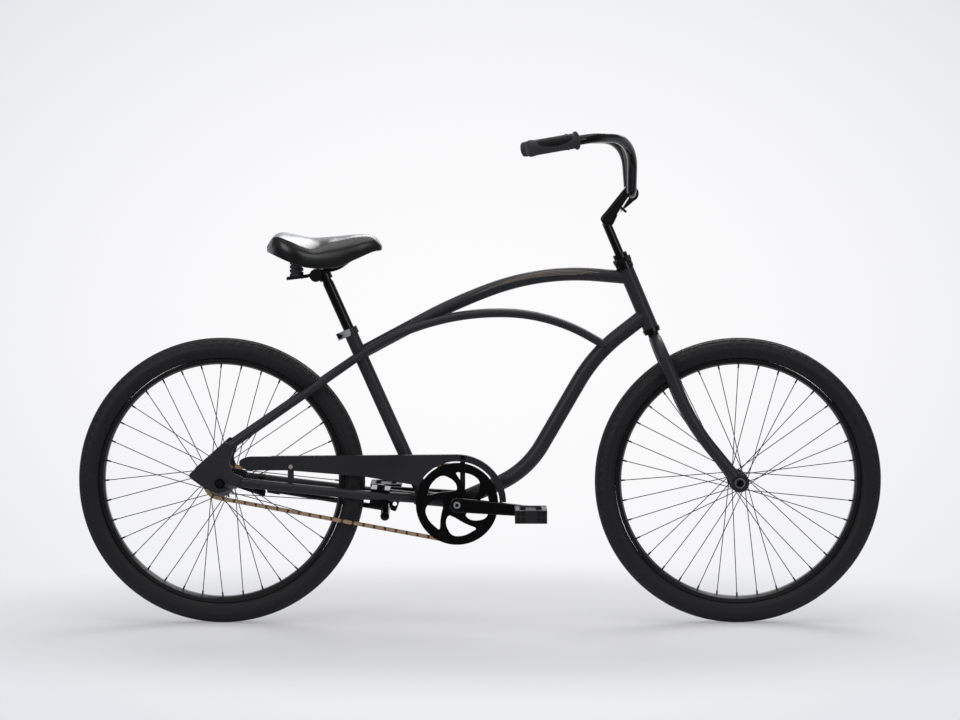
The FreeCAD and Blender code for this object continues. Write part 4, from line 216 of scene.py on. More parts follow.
# each ring: a point on its line, inner radius, outer radius, colour
rings = {
    # dark steel, with a plated bolt in the crank's centre
    "crankset_bolts": ("blackedSteel", [((-0.053206, 0, 0.285), 0.0042, 0.0125, "#e0e1e3")]),
    # dark steel, with a plated washer under the front axle nut
    "fork_fasteners": ("blackedSteel", [((0.601, 0, 0.3335), 0.0088, 0.0135, "#b4b5b8")]),
    # dark steel, with a brassed screw at the guard's rear and bright threads in the rear axle nuts
    "frame_fasteners": ("blackedSteel", [((-0.438, 0, 0.371), 0, 0.012, "#f4ecd8"),
                                         ((-0.601, 0, 0.3335), 0.0035, 0.0052, "#a0a1a4")]),
    # black collar whose slit end is bare aluminium
    "seat_clamp": ("mouldedPlastic", [((-0.331, 0, 0.6758), 0.0045, 0.0315, "#9b9c9e")]),
}
for node, (look, spots) in rings.items():
    dress(nodes[node], ringed(node, look, spots))

# bronze-dipped chain: brown inner plates and rollers, pale outer plates, by depth from its middle
chainLook = {"middle": 0.042, "innerTo": 0.00325, "deep": 0.005, "wear": 0.3,
             "inner": "#5a4330", "outer": "#c4a988"}


def chainSteel():
    made = surface("bronzeDippedChain", looks["wornSteel"])
    tree = made["tree"]
    apart = addNode(tree, "ShaderNodeSeparateXYZ", {0: made["where"]})
    off = addNode(tree, "ShaderNodeMath", {0: apart.outputs[1], 1: chainLook["middle"]}, operation="ADD")
    depth = addNode(tree, "ShaderNodeMath", {0: off.outputs[0]}, operation="ABSOLUTE")
    part = addNode(tree, "ShaderNodeMath", {0: depth.outputs[0], 1: chainLook["deep"]}, operation="DIVIDE")
    layers = addNode(tree, "ShaderNodeValToRGB", {0: part.outputs[0]})
    ramp = layers.color_ramp
    ramp.interpolation = "CONSTANT"
    ramp.elements[0].color = hexColor(chainLook["inner"])
    ramp.elements[1].position = chainLook["innerTo"] / chainLook["deep"]
    ramp.elements[1].color = hexColor(chainLook["outer"])
    worn = addNode(tree, "ShaderNodeMix", {0: chainLook["wear"], 6: layers.outputs[0], 7: made["shade"]},
                   data_type="RGBA", blend_type="MULTIPLY")
    tree.links.new(worn.outputs[2], made["shader"].inputs["Base Color"])
    return made["material"]


dress(nodes["chain"], chainSteel())

# top tube: the frame's coat with a fan of tapered lining, drawn in the side view in metres
lining = {"rear": -0.025, "full": 0.15, "front": 0.25, "stagger": 0.017, "pitch": 0.0032, "narrow": 0.06,
          "rows": 5, "lines": 4, "share": 0.4, "line": "#7d746b", "fill": "#2c2928",
          "flat": 0.773723, "slope": 0.44191, "bow": -1.08}


def linedCoat():
    made = surface("linedPowderCoat", looks["satinPowderCoat"])
    tree = made["tree"]
    apart = addNode(tree, "ShaderNodeSeparateXYZ", {0: made["where"]})
    x, z = apart.outputs[0], apart.outputs[2]
    lean = addNode(tree, "ShaderNodeMath", {0: x, 1: lining["bow"], 2: lining["slope"]},
                   operation="MULTIPLY_ADD")
    course = addNode(tree, "ShaderNodeMath", {0: x, 1: lean.outputs[0], 2: lining["flat"]},
                     operation="MULTIPLY_ADD")
    off = addNode(tree, "ShaderNodeMath", {0: z, 1: course.outputs[0]}, operation="SUBTRACT")
    spread = addNode(tree, "ShaderNodeMapRange", {
        "Value": x, "From Min": lining["rear"], "From Max": lining["full"],
        "To Min": lining["narrow"] * lining["pitch"], "To Max": lining["pitch"]})
    row = addNode(tree, "ShaderNodeMath", {0: off.outputs[0], 1: spread.outputs[0]}, operation="DIVIDE")
    place = addNode(tree, "ShaderNodeMapRange", {
        "Value": row.outputs[0], "From Min": -lining["rows"] / 2, "From Max": lining["rows"] / 2})
    bands = addNode(tree, "ShaderNodeValToRGB", {0: place.outputs[0]})
    ramp = bands.color_ramp
    ramp.interpolation = "CONSTANT"
    clear, line, fill = (0, 0, 0, 0), hexColor(lining["line"]), hexColor(lining["fill"])
    ramp.elements[0].color = clear
    ramp.elements[1].color = clear
    for i in range(lining["lines"]):
        middle = 0.5 + (i - (lining["lines"] - 1) / 2) / lining["rows"]
        half = lining["share"] / 2 / lining["rows"]
        ramp.elements.new(middle - half).color = line
        ramp.elements.new(middle + half).color = fill if i < lining["lines"] - 1 else clear
    ahead = addNode(tree, "ShaderNodeMath", {0: row.outputs[0], 1: -lining["stagger"], 2: x},
                    operation="MULTIPLY_ADD")
    behind = addNode(tree, "ShaderNodeMath", {0: ahead.outputs[0], 1: lining["front"]}, operation="LESS_THAN")
    after = addNode(tree, "ShaderNodeMath", {0: x, 1: lining["rear"]}, operation="GREATER_THAN")
    long = addNode(tree, "ShaderNodeMath", {0: behind.outputs[0], 1: after.outputs[0]}, operation="MULTIPLY")
    shown = addNode(tree, "ShaderNodeMath", {0: long.outputs[0], 1: bands.outputs[1]}, operation="MULTIPLY")
    lined = addNode(tree, "ShaderNodeMix", {
        0: shown.outputs[0], 6: made["shade"], 7: bands.outputs[0]}, data_type="RGBA")
    tree.links.new(lined.outputs[2], made["shader"].inputs["Base Color"])
    return made["material"]


dress(nodes["top_tube"], linedCoat())
print("solids dressed")


# the piece just made, named, with its place in the mesh
def settle(name):
    piece = bpy.context.object
    piece.name = piece.data.name = name
    bpy.ops.object.transform_apply(location=True, rotation=True, scale=True)
    return piece


# merges doubles and turns every face outward
def weld(piece, apart=0.00002):
    bpy.ops.object.mode_set(mode="EDIT")
    bpy.ops.mesh.select_all(action="SELECT")
    bpy.ops.mesh.remove_doubles(threshold=apart)
    bpy.ops.mesh.normals_make_consistent(inside=False)
    bpy.ops.mesh.select_all(action="DESELECT")
    bpy.ops.object.mode_set(mode="OBJECT")


def stand(piece, body, slot, replaced, *looksWorn):
    dress(piece, *[finishes[look]["material"] for look in looksWorn])
    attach(piece, body)
    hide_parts(replaced)


def copied(piece, name):
    bpy.ops.object.select_all(action="DESELECT")
    piece.select_set(True)
    bpy.context.view_layer.objects.active = piece
    bpy.ops.object.duplicate()
    other = bpy.context.object
    other.name = other.data.name = name
    return other


# 0 below the first value, 1 above the second, eased between
def eased(value, low, high):
    part = min(1, max(0, (value - low) / (high - low)))
    return part * part * (3 - 2 * part)


# tyre: spun from a round section, then tread and sidewall pressed into the mesh; metres
tyre = {"centre": (-0.601, 0, 0.3335), "other": (0.601, 0, 0.3335), "ring": 0.3065, "section": 0.027,
        "bead": 0.2852, "profile": 100, "pitches": 92, "steps": 8, "sharp": 50,
        "tread": 0.0275, "scallop": 0.0026, "low": 0.0013, "edgeSoft": 0.0012,
        "grooves": (0.008, 0.018), "grooveFlat": 0.00052, "grooveEnd": 0.00208, "grooveDeep": 0.0016,
        "grooveWave": 0.0012, "notchDeep": 0.0012, "notchFrom": 0.55, "notchTo": 0.95,
        "ridges": (0.038, 0.052), "ridgeFlat": 0.00036, "ridgeEnd": 0.00204, "ridgeHigh": 0.0005}


# how far the rubber lies below the full round, by distance from the crown and angle round the wheel
def tyrePress(arc, turn):
    phase = turn * tyre["pitches"]
    edge = tyre["tread"] + tyre["scallop"] * math.cos(phase)
    low = tyre["low"] * eased(arc, edge - tyre["edgeSoft"], edge + tyre["edgeSoft"])
    for groove in tyre["grooves"]:
        wave = groove + tyre["grooveWave"] * math.sin(phase)
        low += tyre["grooveDeep"] * (1 - eased(abs(arc - wave), tyre["grooveFlat"], tyre["grooveEnd"]))
    if tyre["grooves"][1] < arc < edge:
        low += tyre["notchDeep"] * eased(math.cos(phase + math.pi), tyre["notchFrom"], tyre["notchTo"])
    for ridge in tyre["ridges"]:
        low -= tyre["ridgeHigh"] * (1 - eased(abs(arc - ridge), tyre["ridgeFlat"], tyre["ridgeEnd"]))
    return low


def makeTyre():
    centre = Vector(tyre["centre"])
    bpy.ops.mesh.primitive_circle_add(vertices=tyre["profile"], radius=tyre["section"],
                                      location=centre + Vector((0, 0, tyre["ring"])),
                                      rotation=(math.pi / 2, 0, math.pi / 2))
    piece = settle("rearTyre")
    bpy.ops.object.mode_set(mode="EDIT")
    bpy.ops.mesh.select_all(action="DESELECT")
    bpy.ops.object.mode_set(mode="OBJECT")
    for vertex in piece.data.vertices:
        vertex.select = vertex.co.z - centre.z < tyre["bead"]
    bpy.ops.object.mode_set(mode="EDIT")
    bpy.ops.mesh.delete(type="VERT")
    bpy.ops.mesh.select_all(action="SELECT")
    bpy.ops.mesh.spin(steps=tyre["pitches"] * tyre["steps"], angle=2 * math.pi, axis=(0, 1, 0),
                      center=centre)
    bpy.ops.object.mode_set(mode="OBJECT")
    weld(piece)
    for vertex in piece.data.vertices:
        flat = vertex.co - centre
        turn = math.atan2(flat.x, flat.z)
        out = Vector((math.sin(turn), 0, math.cos(turn)))
        middle = out * tyre["ring"]
        spoke = flat - middle
        arc = tyre["section"] * abs(math.atan2(spoke.y, spoke.dot(out)))
        vertex.co = centre + middle + spoke.normalized() * (tyre["section"] - tyrePress(arc, turn))
    bpy.ops.object.shade_smooth_by_angle(angle=math.radians(tyre["sharp"]))
    return piece


rearTyre = makeTyre()
frontTyre = copied(rearTyre, "frontTyre")
frontTyre.data.transform(Matrix.Translation(Vector(tyre["other"]) - Vector(tyre["centre"])))
stand(rearTyre, "rear_wheel", "tyre_rubber", "rear_tyre", "tyreRubber")
stand(frontTyre, "front_wheel", "tyre_rubber", "front_tyre", "tyreRubber")
print("tyres spun:", len(rearTyre.data.vertices), "points each")

# grip: a cylinder cut at stations, each ring set to the profile; millimetres along the bar and out from it
grip = {"point": (0.213683, -0.314905, 1.122053), "way": (-0.935311, -0.314767, -0.161604),
        "sides": 64, "stations": 59, "length": 118, "blank": 20, "sharp": 40,
        "profile": ((0, 19.3), (1, 20.4), (4, 20.4), (6.5, 17.2), (60, 17), (99, 17.2), (106, 18.4),
                    (111, 18.5), (114, 17.8), (116.5, 17), (118, 15)),
        "palm": (12, 100), "palmFaces": (-0.2, -0.9, 0.45), "palmWide": 0.85, "palmDeep": 0.8,
        "palmFrom": 0.94, "palmEdge": 0.98, "palmTo": 1.02}


# a straight line between a table's points
def between(table, at):
    for (low, first), (high, second) in zip(table, table[1:]):
        if at <= high:
            return first + (second - first) * (at - low) / (high - low)
    return table[-1][1]


def makeGrip():
    bpy.ops.mesh.primitive_cylinder_add(vertices=grip["sides"], radius=grip["blank"] / 1000,
                                        depth=grip["length"] / 1000, location=(0, 0, grip["length"] / 2000))
    piece = settle("rightGrip")
    bpy.ops.object.mode_set(mode="EDIT")
    cuts = [grip["length"] * i / grip["stations"] for i in range(1, grip["stations"])]
    for cut in sorted(set(cuts + [at for at, radius in grip["profile"][1:-1]])):
        bpy.ops.mesh.select_all(action="SELECT")
        bpy.ops.mesh.bisect(plane_co=(0, 0, cut / 1000), plane_no=(0, 0, 1))
    bpy.ops.object.mode_set(mode="OBJECT")
    turn = Vector(grip["way"]).to_track_quat("Z", "Y").to_matrix().to_4x4()
    facing = turn.to_3x3().inverted() @ Vector(grip["palmFaces"])
    facing = math.atan2(facing.y, facing.x)
    low, high = grip["palm"]
    inlay = []
    for vertex in piece.data.vertices:
        along = vertex.co.z * 1000
        angle = math.atan2(vertex.co.y, vertex.co.x)
        apart = abs((angle - facing + math.pi) % (2 * math.pi) - math.pi)
        reach = math.hypot((along - (low + high) / 2) / ((high - low) / 2), apart / grip["palmWide"])
        dip = grip["palmDeep"] * (1 - eased(reach, grip["palmFrom"], grip["palmTo"]))
        out = (between(grip["profile"], along) - dip) / 1000
        vertex.co.x, vertex.co.y = out * math.cos(angle), out * math.sin(angle)
        inlay.append(reach < grip["palmEdge"])
    for face in piece.data.polygons:
        face.material_index = 1 if all(inlay[i] for i in face.vertices) else 0
    piece.data.transform(Matrix.Translation(grip["point"]) @ turn)
    bpy.ops.object.shade_smooth_by_angle(angle=math.radians(grip["sharp"]))
    return piece


# dressing a grip clears its palm faces, so they are kept and put back
rightGrip = makeGrip()
palms = [face.material_index for face in rightGrip.data.polygons]
leftGrip = copied(rightGrip, "leftGrip")
leftGrip.data.transform(Matrix.Scale(-1, 4, (0, 1, 0)))
leftGrip.data.flip_normals()
for piece, node in ((rightGrip, "right_grip"), (leftGrip, "left_grip")):
    stand(piece, "handlebar", "grip_rubber", node, "gripRubber", "palmRubber")
    for face, worn in zip(piece.data.polygons, palms):
        face.material_index = worn
print("grips shaped, palm faces", sum(palms))

# pedal: a block with its openings, windows and reflector seats cut out; millimetres from the block's middle
pedal = {"right": (0.116147, -0.1295, 0.270184), "left": (-0.222559, 0.1295, 0.299816),
         "block": (73, 95, 30), "bevel": 1.1, "bevelSteps": 2, "sharp": 35,
         "slots": {"x": 18.25, "size": (12.5, 75, 40)},
         "barrel": {"z": 15, "size": (23.9, 75, 6)},
         "seat": {"x": 36.5, "size": (6, 46, 13)},
         "windows": {"x": (17.6, 28.9), "z": (-6.9, 6.9), "y": 47.5, "size": (9, 12, 11.4)},
         "patch": {"x": 30.5, "z": 15, "size": (8, 70, 1.6)}, "patchDrop": 0.25, "patchGap": 0.6}


# blocks of given places and sizes, joined in one mesh
def blocks(centre, sizes):
    bpy.ops.object.select_all(action="DESELECT")
    made = []
    for place, size in sizes:
        bpy.ops.mesh.primitive_cube_add(size=0.001, location=centre + Vector(place) / 1000)
        bpy.context.object.scale = size
        made.append(settle("block"))
    for block in made:
        block.select_set(True)
    if len(made) > 1:
        bpy.ops.object.join()
    return bpy.context.object


def makePedal():
    centre = Vector(pedal["right"])
    both = (-1, 1)
    cuts = [((pedal["slots"]["x"] * s, 0, 0), pedal["slots"]["size"]) for s in both]
    cuts += [((0, 0, pedal["barrel"]["z"] * s), pedal["barrel"]["size"]) for s in both]
    cuts += [((pedal["seat"]["x"] * s, 0, 0), pedal["seat"]["size"]) for s in both]
    panes = pedal["windows"]
    cuts += [((x * s, panes["y"] * end, z), panes["size"])
             for x in panes["x"] for s in both for end in both for z in panes["z"]]
    patch = pedal["patch"]
    cuts += [((patch["x"] * s, 0, patch["z"] * t), patch["size"]) for s in both for t in both]
    cutter = blocks(centre, cuts)
    piece = blocks(centre, [((0, 0, 0), pedal["block"])])
    carve = piece.modifiers.new("carve", "BOOLEAN")
    carve.object, carve.operation, carve.solver = cutter, "DIFFERENCE", "EXACT"
    soften = piece.modifiers.new("soften", "BEVEL")
    soften.width, soften.segments = pedal["bevel"] / 1000, pedal["bevelSteps"]
    soften.limit_method = "ANGLE"
    for modifier in ("carve", "soften"):
        bpy.ops.object.modifier_apply(modifier=modifier)
    bpy.data.objects.remove(cutter)
    count = len(piece.data.polygons)
    wide, deep, thick = patch["size"]
    high = patch["z"] - thick / 4 - pedal["patchDrop"]
    inlaySize = (wide - pedal["patchGap"], deep - pedal["patchGap"], thick / 2)
    inlays = blocks(centre, [((patch["x"] * s, 0, high * t), inlaySize) for s in both for t in both])
    bpy.ops.object.select_all(action="DESELECT")
    inlays.select_set(True)
    piece.select_set(True)
    bpy.context.view_layer.objects.active = piece
    bpy.ops.object.join()
    piece.name = piece.data.name = "rightPedal"
    bpy.ops.object.shade_smooth_by_angle(angle=math.radians(pedal["sharp"]))
    return piece, count


rightPedal, bodyFaces = makePedal()
leftPedal = copied(rightPedal, "leftPedal")
leftPedal.data.transform(Matrix.Translation(Vector(pedal["left"]) - Vector(pedal["right"])))
for piece, node in ((rightPedal, "right_pedal"), (leftPedal, "left_pedal")):
    stand(piece, node, "black_plastic", node, "mouldedPlastic", "treadRubber")
    for face in piece.data.polygons:
        face.material_index = 0 if face.index < bodyFaces else 1
print("pedals moulded")

# saddle: rings of a wing-shaped section swept along its length, then stuffed; millimetres from the pivot
saddle = {"pivot": (-0.379054, 0, 0.812599), "rows": 46, "under": 1.0,
          "stations": ((-110, 56, 72, 70), (-91, 49, 98, 105), (-51, 32, 95, 122), (-11, 20, 88, 112),
                       (49, 20, 90, 82), (94, 38, 95, 55), (134, 55, 92, 34), (151, 57, 72, 20)),
          "drops": ((-110, 3), (-91, 6), (-79, 8), (-51, 13), (-30, 19), (-11, 24), (12, 30), (151, 30)),
          "creaseFrom": -14, "creaseTo": 40, "creaseWide": 0.94, "creaseLeast": 0.05, "sideLean": 1.6,
          "lip": 8, "lipIn": 2, "lipWall": 1.2, "lipInRise": 0.6, "lipRound": 2.5, "lipOutRise": 0.8,
          "recess": 22, "recessShare": 0.45, "widest": 0.45, "round": 0.84,
          "capBeyond": 1.5, "capShare": 0.62, "endHeld": 2, "seam": 0.0005,
          "pressure": 4, "frames": 20, "reach": 4, "edge": 1, "sharp": 32}
ceiling, topShares = (0, 0.3, 0.6, 0.85, 1), (0.9, 0.78, 0.64, 0.48, 0.32, 0.16, 0)
quarters = (0.25, 0.5, 0.75, 1)
lipPoints = 4
creaseAt = len(ceiling) + lipPoints + 2 * len(quarters) - 1


# a smooth curve through a table's points, for each of its columns
def smoothAt(table, at):
    i = max(k for k in range(len(table) - 1) if k == 0 or table[k][0] <= at)
    low, high = table[i], table[i + 1]
    before, after = table[max(i - 1, 0)], table[min(i + 2, len(table) - 1)]
    span = high[0] - low[0]
    t = (at - low[0]) / span
    result = []
    for first, start, end, last in zip(before[1:], low[1:], high[1:], after[1:]):
        rise = (end - first) / (high[0] - before[0]) * span
        fall = (last - start) / (after[0] - low[0]) * span
        result.append((2 * t ** 3 - 3 * t ** 2 + 1) * start + (t ** 3 - 2 * t ** 2 + t) * rise
                      + (3 * t ** 2 - 2 * t ** 3) * end + (t ** 3 - t ** 2) * fall)
    return result


# 1 on the rear wings, fading to 0 where the nose is round
def creaseStrength(at):
    return 1 - eased(at, saddle["creaseFrom"], saddle["creaseTo"])


# half a section from the middle of its underside to the middle of its top: across and up
def saddleHalf(at):
    bottom, top, half = smoothAt(saddle["stations"], at)
    top, half = top - saddle["under"], half - saddle["under"]
    tall = top - bottom
    strength = creaseStrength(at)
    creaseY = saddle["creaseWide"] * half
    creaseZ = top - between(saddle["drops"], at)
    recess = min(saddle["recess"], saddle["recessShare"] * tall)
    inner = half - saddle["lip"] - saddle["lipIn"]
    foot, footUp = half - saddle["lipRound"], bottom + saddle["lipOutRise"]
    middle = bottom + saddle["widest"] * tall
    points = [(share * inner, bottom + recess) for share in ceiling]
    points += [(inner + saddle["lipWall"], bottom + recess / 2),
               (inner + saddle["lipIn"], bottom + saddle["lipInRise"]),
               (half - saddle["lip"] / 2, bottom), (foot, footUp)]
    points += [(foot + saddle["lipRound"] * math.sin(q * math.pi / 2), footUp + (middle - footUp) * q)
               for q in quarters]
    winged = [(half - (half - creaseY) * q ** saddle["sideLean"], middle + (creaseZ - middle) * q)
              for q in quarters]
    winged += [(share * creaseY, top - (top - creaseZ) * share ** 2) for share in topShares]
    angles = [q * math.pi / 4 for q in quarters] + [math.pi / 4 * (2 - share) for share in topShares]
    for (y, z), angle in zip(winged, angles):
        roundY = half * max(0, math.cos(angle)) ** saddle["round"]
        roundZ = middle + (top - middle) * math.sin(angle) ** saddle["round"]
        points.append((strength * y + (1 - strength) * roundY, strength * z + (1 - strength) * roundZ))
    return points


def saddleRing(at):
    half = saddleHalf(at)
    return half + [(-y, z) for y, z in half[-2::-1]]


def makeSaddle():
    pivot = Vector(saddle["pivot"])
    first, last = saddle["stations"][0][0], saddle["stations"][-1][0]
    rows = []
    for i in range(saddle["rows"]):
        at = first + (last - first) * i / (saddle["rows"] - 1)
        rows.append([(at, y, z) for y, z in saddleRing(at)])
    for end, beyond in ((rows[0], -saddle["capBeyond"]), (rows[-1], saddle["capBeyond"])):
        height = sum(z for at, y, z in end) / len(end)
        small = saddle["capShare"]
        cap = [(at + beyond, y * small, height + (z - height) * small) for at, y, z in end]
        rows.insert(0 if beyond < 0 else len(rows), cap)
    across = len(rows[0])
    bpy.ops.mesh.primitive_grid_add(x_subdivisions=across - 1, y_subdivisions=len(rows) - 1, size=1)
    piece = settle("saddleCushion")
    for i, vertex in enumerate(piece.data.vertices):
        vertex.co = pivot + Vector(rows[i // across][i % across]) / 1000
    weld(piece, saddle["seam"] / 1000)
    bpy.ops.object.mode_set(mode="EDIT")
    bpy.ops.mesh.select_all(action="SELECT")
    bpy.ops.mesh.fill_holes(sides=0)
    bpy.ops.mesh.normals_make_consistent(inside=False)
    bpy.ops.object.mode_set(mode="OBJECT")
    keepFirm(piece, pivot)
    return piece


# the crease, the underside and both ends are held while the cover is stuffed
def keepFirm(piece, pivot):
    held = piece.vertex_groups.new(name="held")
    first, last = saddle["stations"][0][0], saddle["stations"][-1][0]
    sharp = {}
    for vertex in piece.data.vertices:
        place = (vertex.co - pivot) * 1000
        at = min(max(place.x, first), last)
        away = [math.hypot(y - abs(place.y), z - place.z) for y, z in saddleHalf(at)]
        near = away.index(min(away))
        strength = creaseStrength(at)
        atEnd = min(abs(place.x - first), abs(place.x - last)) < saddle["endHeld"]
        if near < len(ceiling) + lipPoints or atEnd:
            held.add([vertex.index], 1, "REPLACE")
        elif near == creaseAt and strength > saddle["creaseLeast"]:
            held.add([vertex.index], strength, "REPLACE")
            sharp[vertex.index] = strength
    creases = piece.data.attributes.new("crease_edge", "FLOAT", "EDGE")
    for edge in piece.data.edges:
        if all(i in sharp for i in edge.vertices):
            creases.data[edge.index].value = saddle["edge"] * min(sharp[i] for i in edge.vertices)


def stuff(piece):
    before = [vertex.co.copy() for vertex in piece.data.vertices]
    cloth = piece.modifiers.new("stuffing", "CLOTH")
    cloth.settings.use_pressure = True
    cloth.settings.uniform_pressure_force = saddle["pressure"]
    cloth.settings.vertex_group_mass = "held"
    cloth.settings.effector_weights.gravity = 0
    cloth.point_cache.frame_start, cloth.point_cache.frame_end = 1, saddle["frames"]
    for frameNow in range(1, saddle["frames"] + 1):
        bpy.context.scene.frame_set(frameNow)
    bpy.ops.object.modifier_apply(modifier="stuffing")
    bpy.context.scene.frame_set(1)
    moved = 0
    for vertex, start in zip(piece.data.vertices, before):
        step = vertex.co - start
        moved = max(moved, step.length)
        vertex.co = start + step.normalized() * min(step.length, saddle["reach"] / 1000)
    print("saddle stuffed, farthest point moved mm", round(moved * 1000, 2))


saddleCushion = makeSaddle()
stuff(saddleCushion)
smooth = saddleCushion.modifiers.new("smooth", "SUBSURF")
smooth.levels = smooth.render_levels = 1
bpy.ops.object.modifier_apply(modifier="smooth")
bpy.ops.object.shade_smooth_by_angle(angle=math.radians(saddle["sharp"]))
stand(saddleCushion, "saddle", "saddle_vinyl", "saddle_pad", "saddleVinyl")
print("saddle made:", len(saddleCushion.data.polygons), "faces")

# camera at the photograph's place: side on, 6.4 m away, looking slightly down
view = {"away": 6.4, "high": 1.089, "lens": 103.55, "sensor": 36, "look": 0.615}
camera = bpy.data.objects.new("camera", bpy.data.cameras.new("camera"))
bpy.context.scene.collection.objects.link(camera)
camera.location = (0, -view["away"], view["high"])
lookDown = math.atan((view["high"] - view["look"]) / view["away"])
camera.rotation_euler = (math.pi / 2 - lookDown, 0, 0)
camera.data.lens = view["lens"]
camera.data.sensor_width = view["sensor"]
bpy.context.scene.camera = camera

# pale floor that rolls up into a backdrop, with a painted falloff of light brightest at its middle
studio = {"half": 16, "front": -16, "bend": 8.5, "edgeNear": 0.01, "radius": 2.5,
          "bendSteps": 24, "top": 6,
          "paper": "#dcdce0", "paperRough": 0.9, "paperShine": 0.1, "fade": 2,
          # backdrop colours: a pale middle and darker corners, painted light falling off outward
          "middle": "#fdfcfd", "corner": "#e5e7ec", "low": 0.063, "wide": 0.1743, "tall": 0.12,
          "bare": (1.25, 0.8, 0.5), "bareFrom": 0.6, "bareTo": 1.3, "shadowShare": 0.7,
          "mirrorFrom": -1.2, "mirrorTo": 2, "mirrored": (0.1, 1),
          "air": "#f4f5f8", "airLight": 0.28, "airSeen": 0.9}


def softFloor():
    bpy.ops.object.select_all(action="DESELECT")
    bpy.ops.mesh.primitive_plane_add(size=2, location=(0, 0, 0))
    bpy.context.object.scale = (studio["half"], (studio["bend"] - studio["front"]) / 2, 1)
    bpy.context.object.location = (0, (studio["bend"] + studio["front"]) / 2, 0)
    floor = settle("floor")
    bpy.ops.object.mode_set(mode="EDIT")
    bpy.ops.mesh.select_mode(type="EDGE")
    bpy.ops.mesh.select_all(action="DESELECT")
    bpy.ops.object.mode_set(mode="OBJECT")
    for edge in floor.data.edges:
        ends = [floor.data.vertices[i].co for i in edge.vertices]
        edge.select = all(end.y > studio["bend"] - studio["edgeNear"] for end in ends)
    bpy.ops.object.mode_set(mode="EDIT")
    bpy.ops.mesh.spin(steps=studio["bendSteps"], angle=math.radians(-90), axis=(1, 0, 0),
                      center=(0, studio["bend"], studio["radius"]))
    bpy.ops.mesh.extrude_region_move(TRANSFORM_OT_translate={"value": (0, 0, studio["top"])})
    bpy.ops.object.mode_set(mode="OBJECT")
    bpy.ops.object.shade_smooth()
    return floor
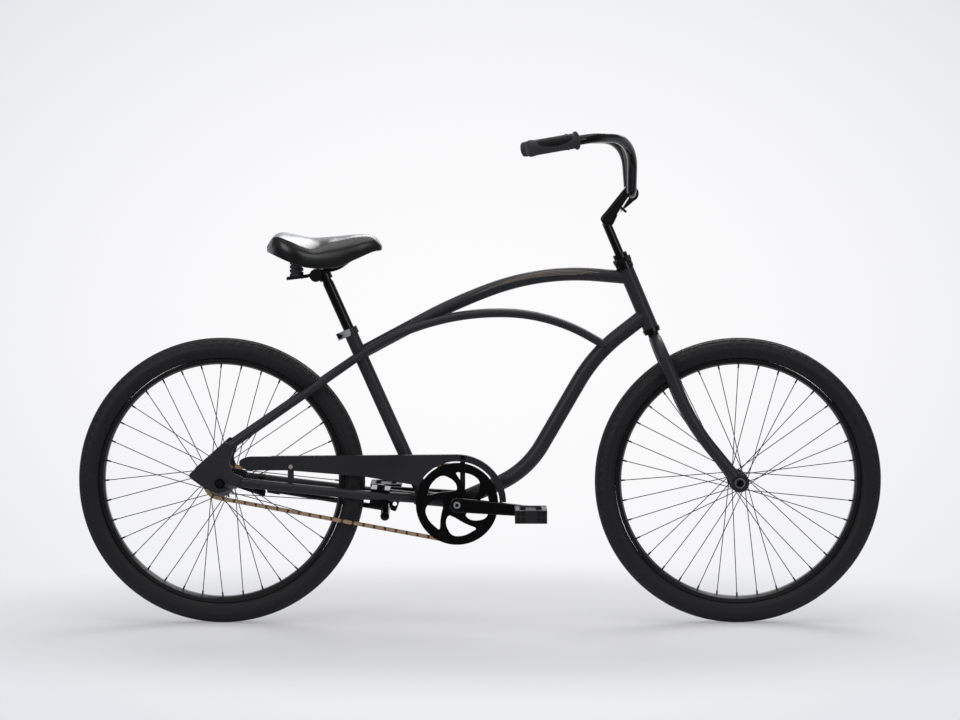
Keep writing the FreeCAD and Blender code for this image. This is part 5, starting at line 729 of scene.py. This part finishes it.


# white paper: glows far off, with painted light palest in the middle as seen from the camera's first
# place, which is fixed here, and painted shade at the corners; it takes light and shadow near the bicycle
def paperMaterial():
    material, tree, shader, where = newMaterial("seamlessPaper")
    shader.inputs["Base Color"].default_value = hexColor(studio["paper"])
    shader.inputs["Roughness"].default_value = studio["paperRough"]
    shader.inputs["Specular IOR Level"].default_value = studio["paperShine"]
    ahead = addNode(tree, "ShaderNodeVectorMath", {0: where, 1: (0, -view["away"], view["high"])},
                    operation="SUBTRACT")
    apart = addNode(tree, "ShaderNodeSeparateXYZ", {0: ahead.outputs[0]})
    side = addNode(tree, "ShaderNodeMath", {0: apart.outputs[0], 1: apart.outputs[1]}, operation="DIVIDE")
    rise = addNode(tree, "ShaderNodeMath", {0: apart.outputs[2], 1: apart.outputs[1]}, operation="DIVIDE")
    spread = addNode(tree, "ShaderNodeCombineXYZ", {0: side.outputs[0], 1: rise.outputs[0]})
    offset = addNode(tree, "ShaderNodeVectorMath", {0: spread.outputs[0], 1: (0, studio["low"], 0)},
                     operation="ADD")
    scaled = addNode(tree, "ShaderNodeVectorMath", {
        0: offset.outputs[0], 1: (studio["wide"], studio["tall"], 1)}, operation="DIVIDE")
    squared = addNode(tree, "ShaderNodeVectorMath", {0: scaled.outputs[0], 1: scaled.outputs[0]},
                      operation="DOT_PRODUCT")
    # painted falloff of light: the paper's colour darkens from the pale middle towards the corners
    outward = addNode(tree, "ShaderNodeMapRange", {
        "Value": squared.outputs["Value"], "From Max": studio["fade"]})
    paintedFalloff = addNode(tree, "ShaderNodeMix", {
        0: outward.outputs[0], 6: hexColor(studio["middle"]), 7: hexColor(studio["corner"])},
        data_type="RGBA")
    path = addNode(tree, "ShaderNodeLightPath")
    whole = addNode(tree, "ShaderNodeSeparateXYZ", {0: where})
    # what reflections see: dim in front of the bicycle, full behind it
    mirrored = addNode(tree, "ShaderNodeMapRange", {
        "Value": whole.outputs[1], "From Min": studio["mirrorFrom"], "From Max": studio["mirrorTo"],
        "To Min": studio["mirrored"][0], "To Max": studio["mirrored"][1]})
    strength = addNode(tree, "ShaderNodeMath", {
        0: path.outputs["Is Camera Ray"], 1: mirrored.outputs[0]}, operation="MAXIMUM")
    glow = addNode(tree, "ShaderNodeEmission", {"Color": paintedFalloff.outputs[2], "Strength": strength.outputs[0]})
    under = addNode(tree, "ShaderNodeVectorMath", {0: where, 1: studio["bare"]}, operation="DIVIDE")
    reach = addNode(tree, "ShaderNodeVectorMath", {0: under.outputs[0]}, operation="LENGTH")
    share = addNode(tree, "ShaderNodeMapRange", {
        "Value": reach.outputs["Value"], "From Min": studio["bareFrom"], "From Max": studio["bareTo"],
        "To Min": 1 - studio["shadowShare"], "To Max": 1}, interpolation_type="SMOOTHSTEP")
    direct = addNode(tree, "ShaderNodeMath", {
        0: path.outputs["Is Camera Ray"], 1: path.outputs["Is Glossy Ray"]}, operation="MAXIMUM")
    seen = addNode(tree, "ShaderNodeMath", {0: direct.outputs[0], 1: share.outputs[0]}, operation="MULTIPLY")
    mixed = addNode(tree, "ShaderNodeMixShader", {
        0: seen.outputs[0], 1: shader.outputs[0], 2: glow.outputs[0]})
    tree.links.new(mixed.outputs[0], tree.nodes["Material Output"].inputs["Surface"])
    return material


floor = softFloor()
dress(floor, paperMaterial())

# soft boxes: a wide one overhead, one behind for the upper edges, a tall one front left, a weak one right
lamps = {
    "overhead": {"at": (0, -0.4, 3.6), "aim": (0, 0, 0.5), "size": (4.2, 3.0), "watts": 62},
    "behind": {"at": (0.8, 2.6, 3.0), "aim": (0.1, 0, 0.7), "size": (2.8, 2.0), "watts": 70},
    "frontLeft": {"at": (-3.2, -4.6, 2.4), "aim": (-0.1, 0, 0.55), "size": (2.6, 2.6), "watts": 62},
    "frontRight": {"at": (3.4, -4.2, 1.9), "aim": (0.2, 0, 0.6), "size": (1.8, 2.4), "watts": 32},
}
for name, lamp in lamps.items():
    data = bpy.data.lights.new(name, "AREA")
    data.shape = "RECTANGLE"
    data.size, data.size_y = lamp["size"]
    data.energy = lamp["watts"]
    light = bpy.data.objects.new(name, data)
    bpy.context.scene.collection.objects.link(light)
    light.location = lamp["at"]
    light.rotation_euler = (Vector(lamp["aim"]) - light.location).to_track_quat("-Z", "Y").to_euler()
world = bpy.data.worlds.new("studioAir")
world.use_nodes = True
air = world.node_tree
rays = addNode(air, "ShaderNodeLightPath")
strength = addNode(air, "ShaderNodeMapRange", {
    "Value": rays.outputs["Is Camera Ray"], "To Min": studio["airLight"], "To Max": studio["airSeen"]})
air.nodes["Background"].inputs["Color"].default_value = hexColor(studio["air"])
air.links.new(strength.outputs[0], air.nodes["Background"].inputs["Strength"])
bpy.context.scene.world = world
bpy.context.scene.view_settings.view_transform = "Standard"
print("studio lit")
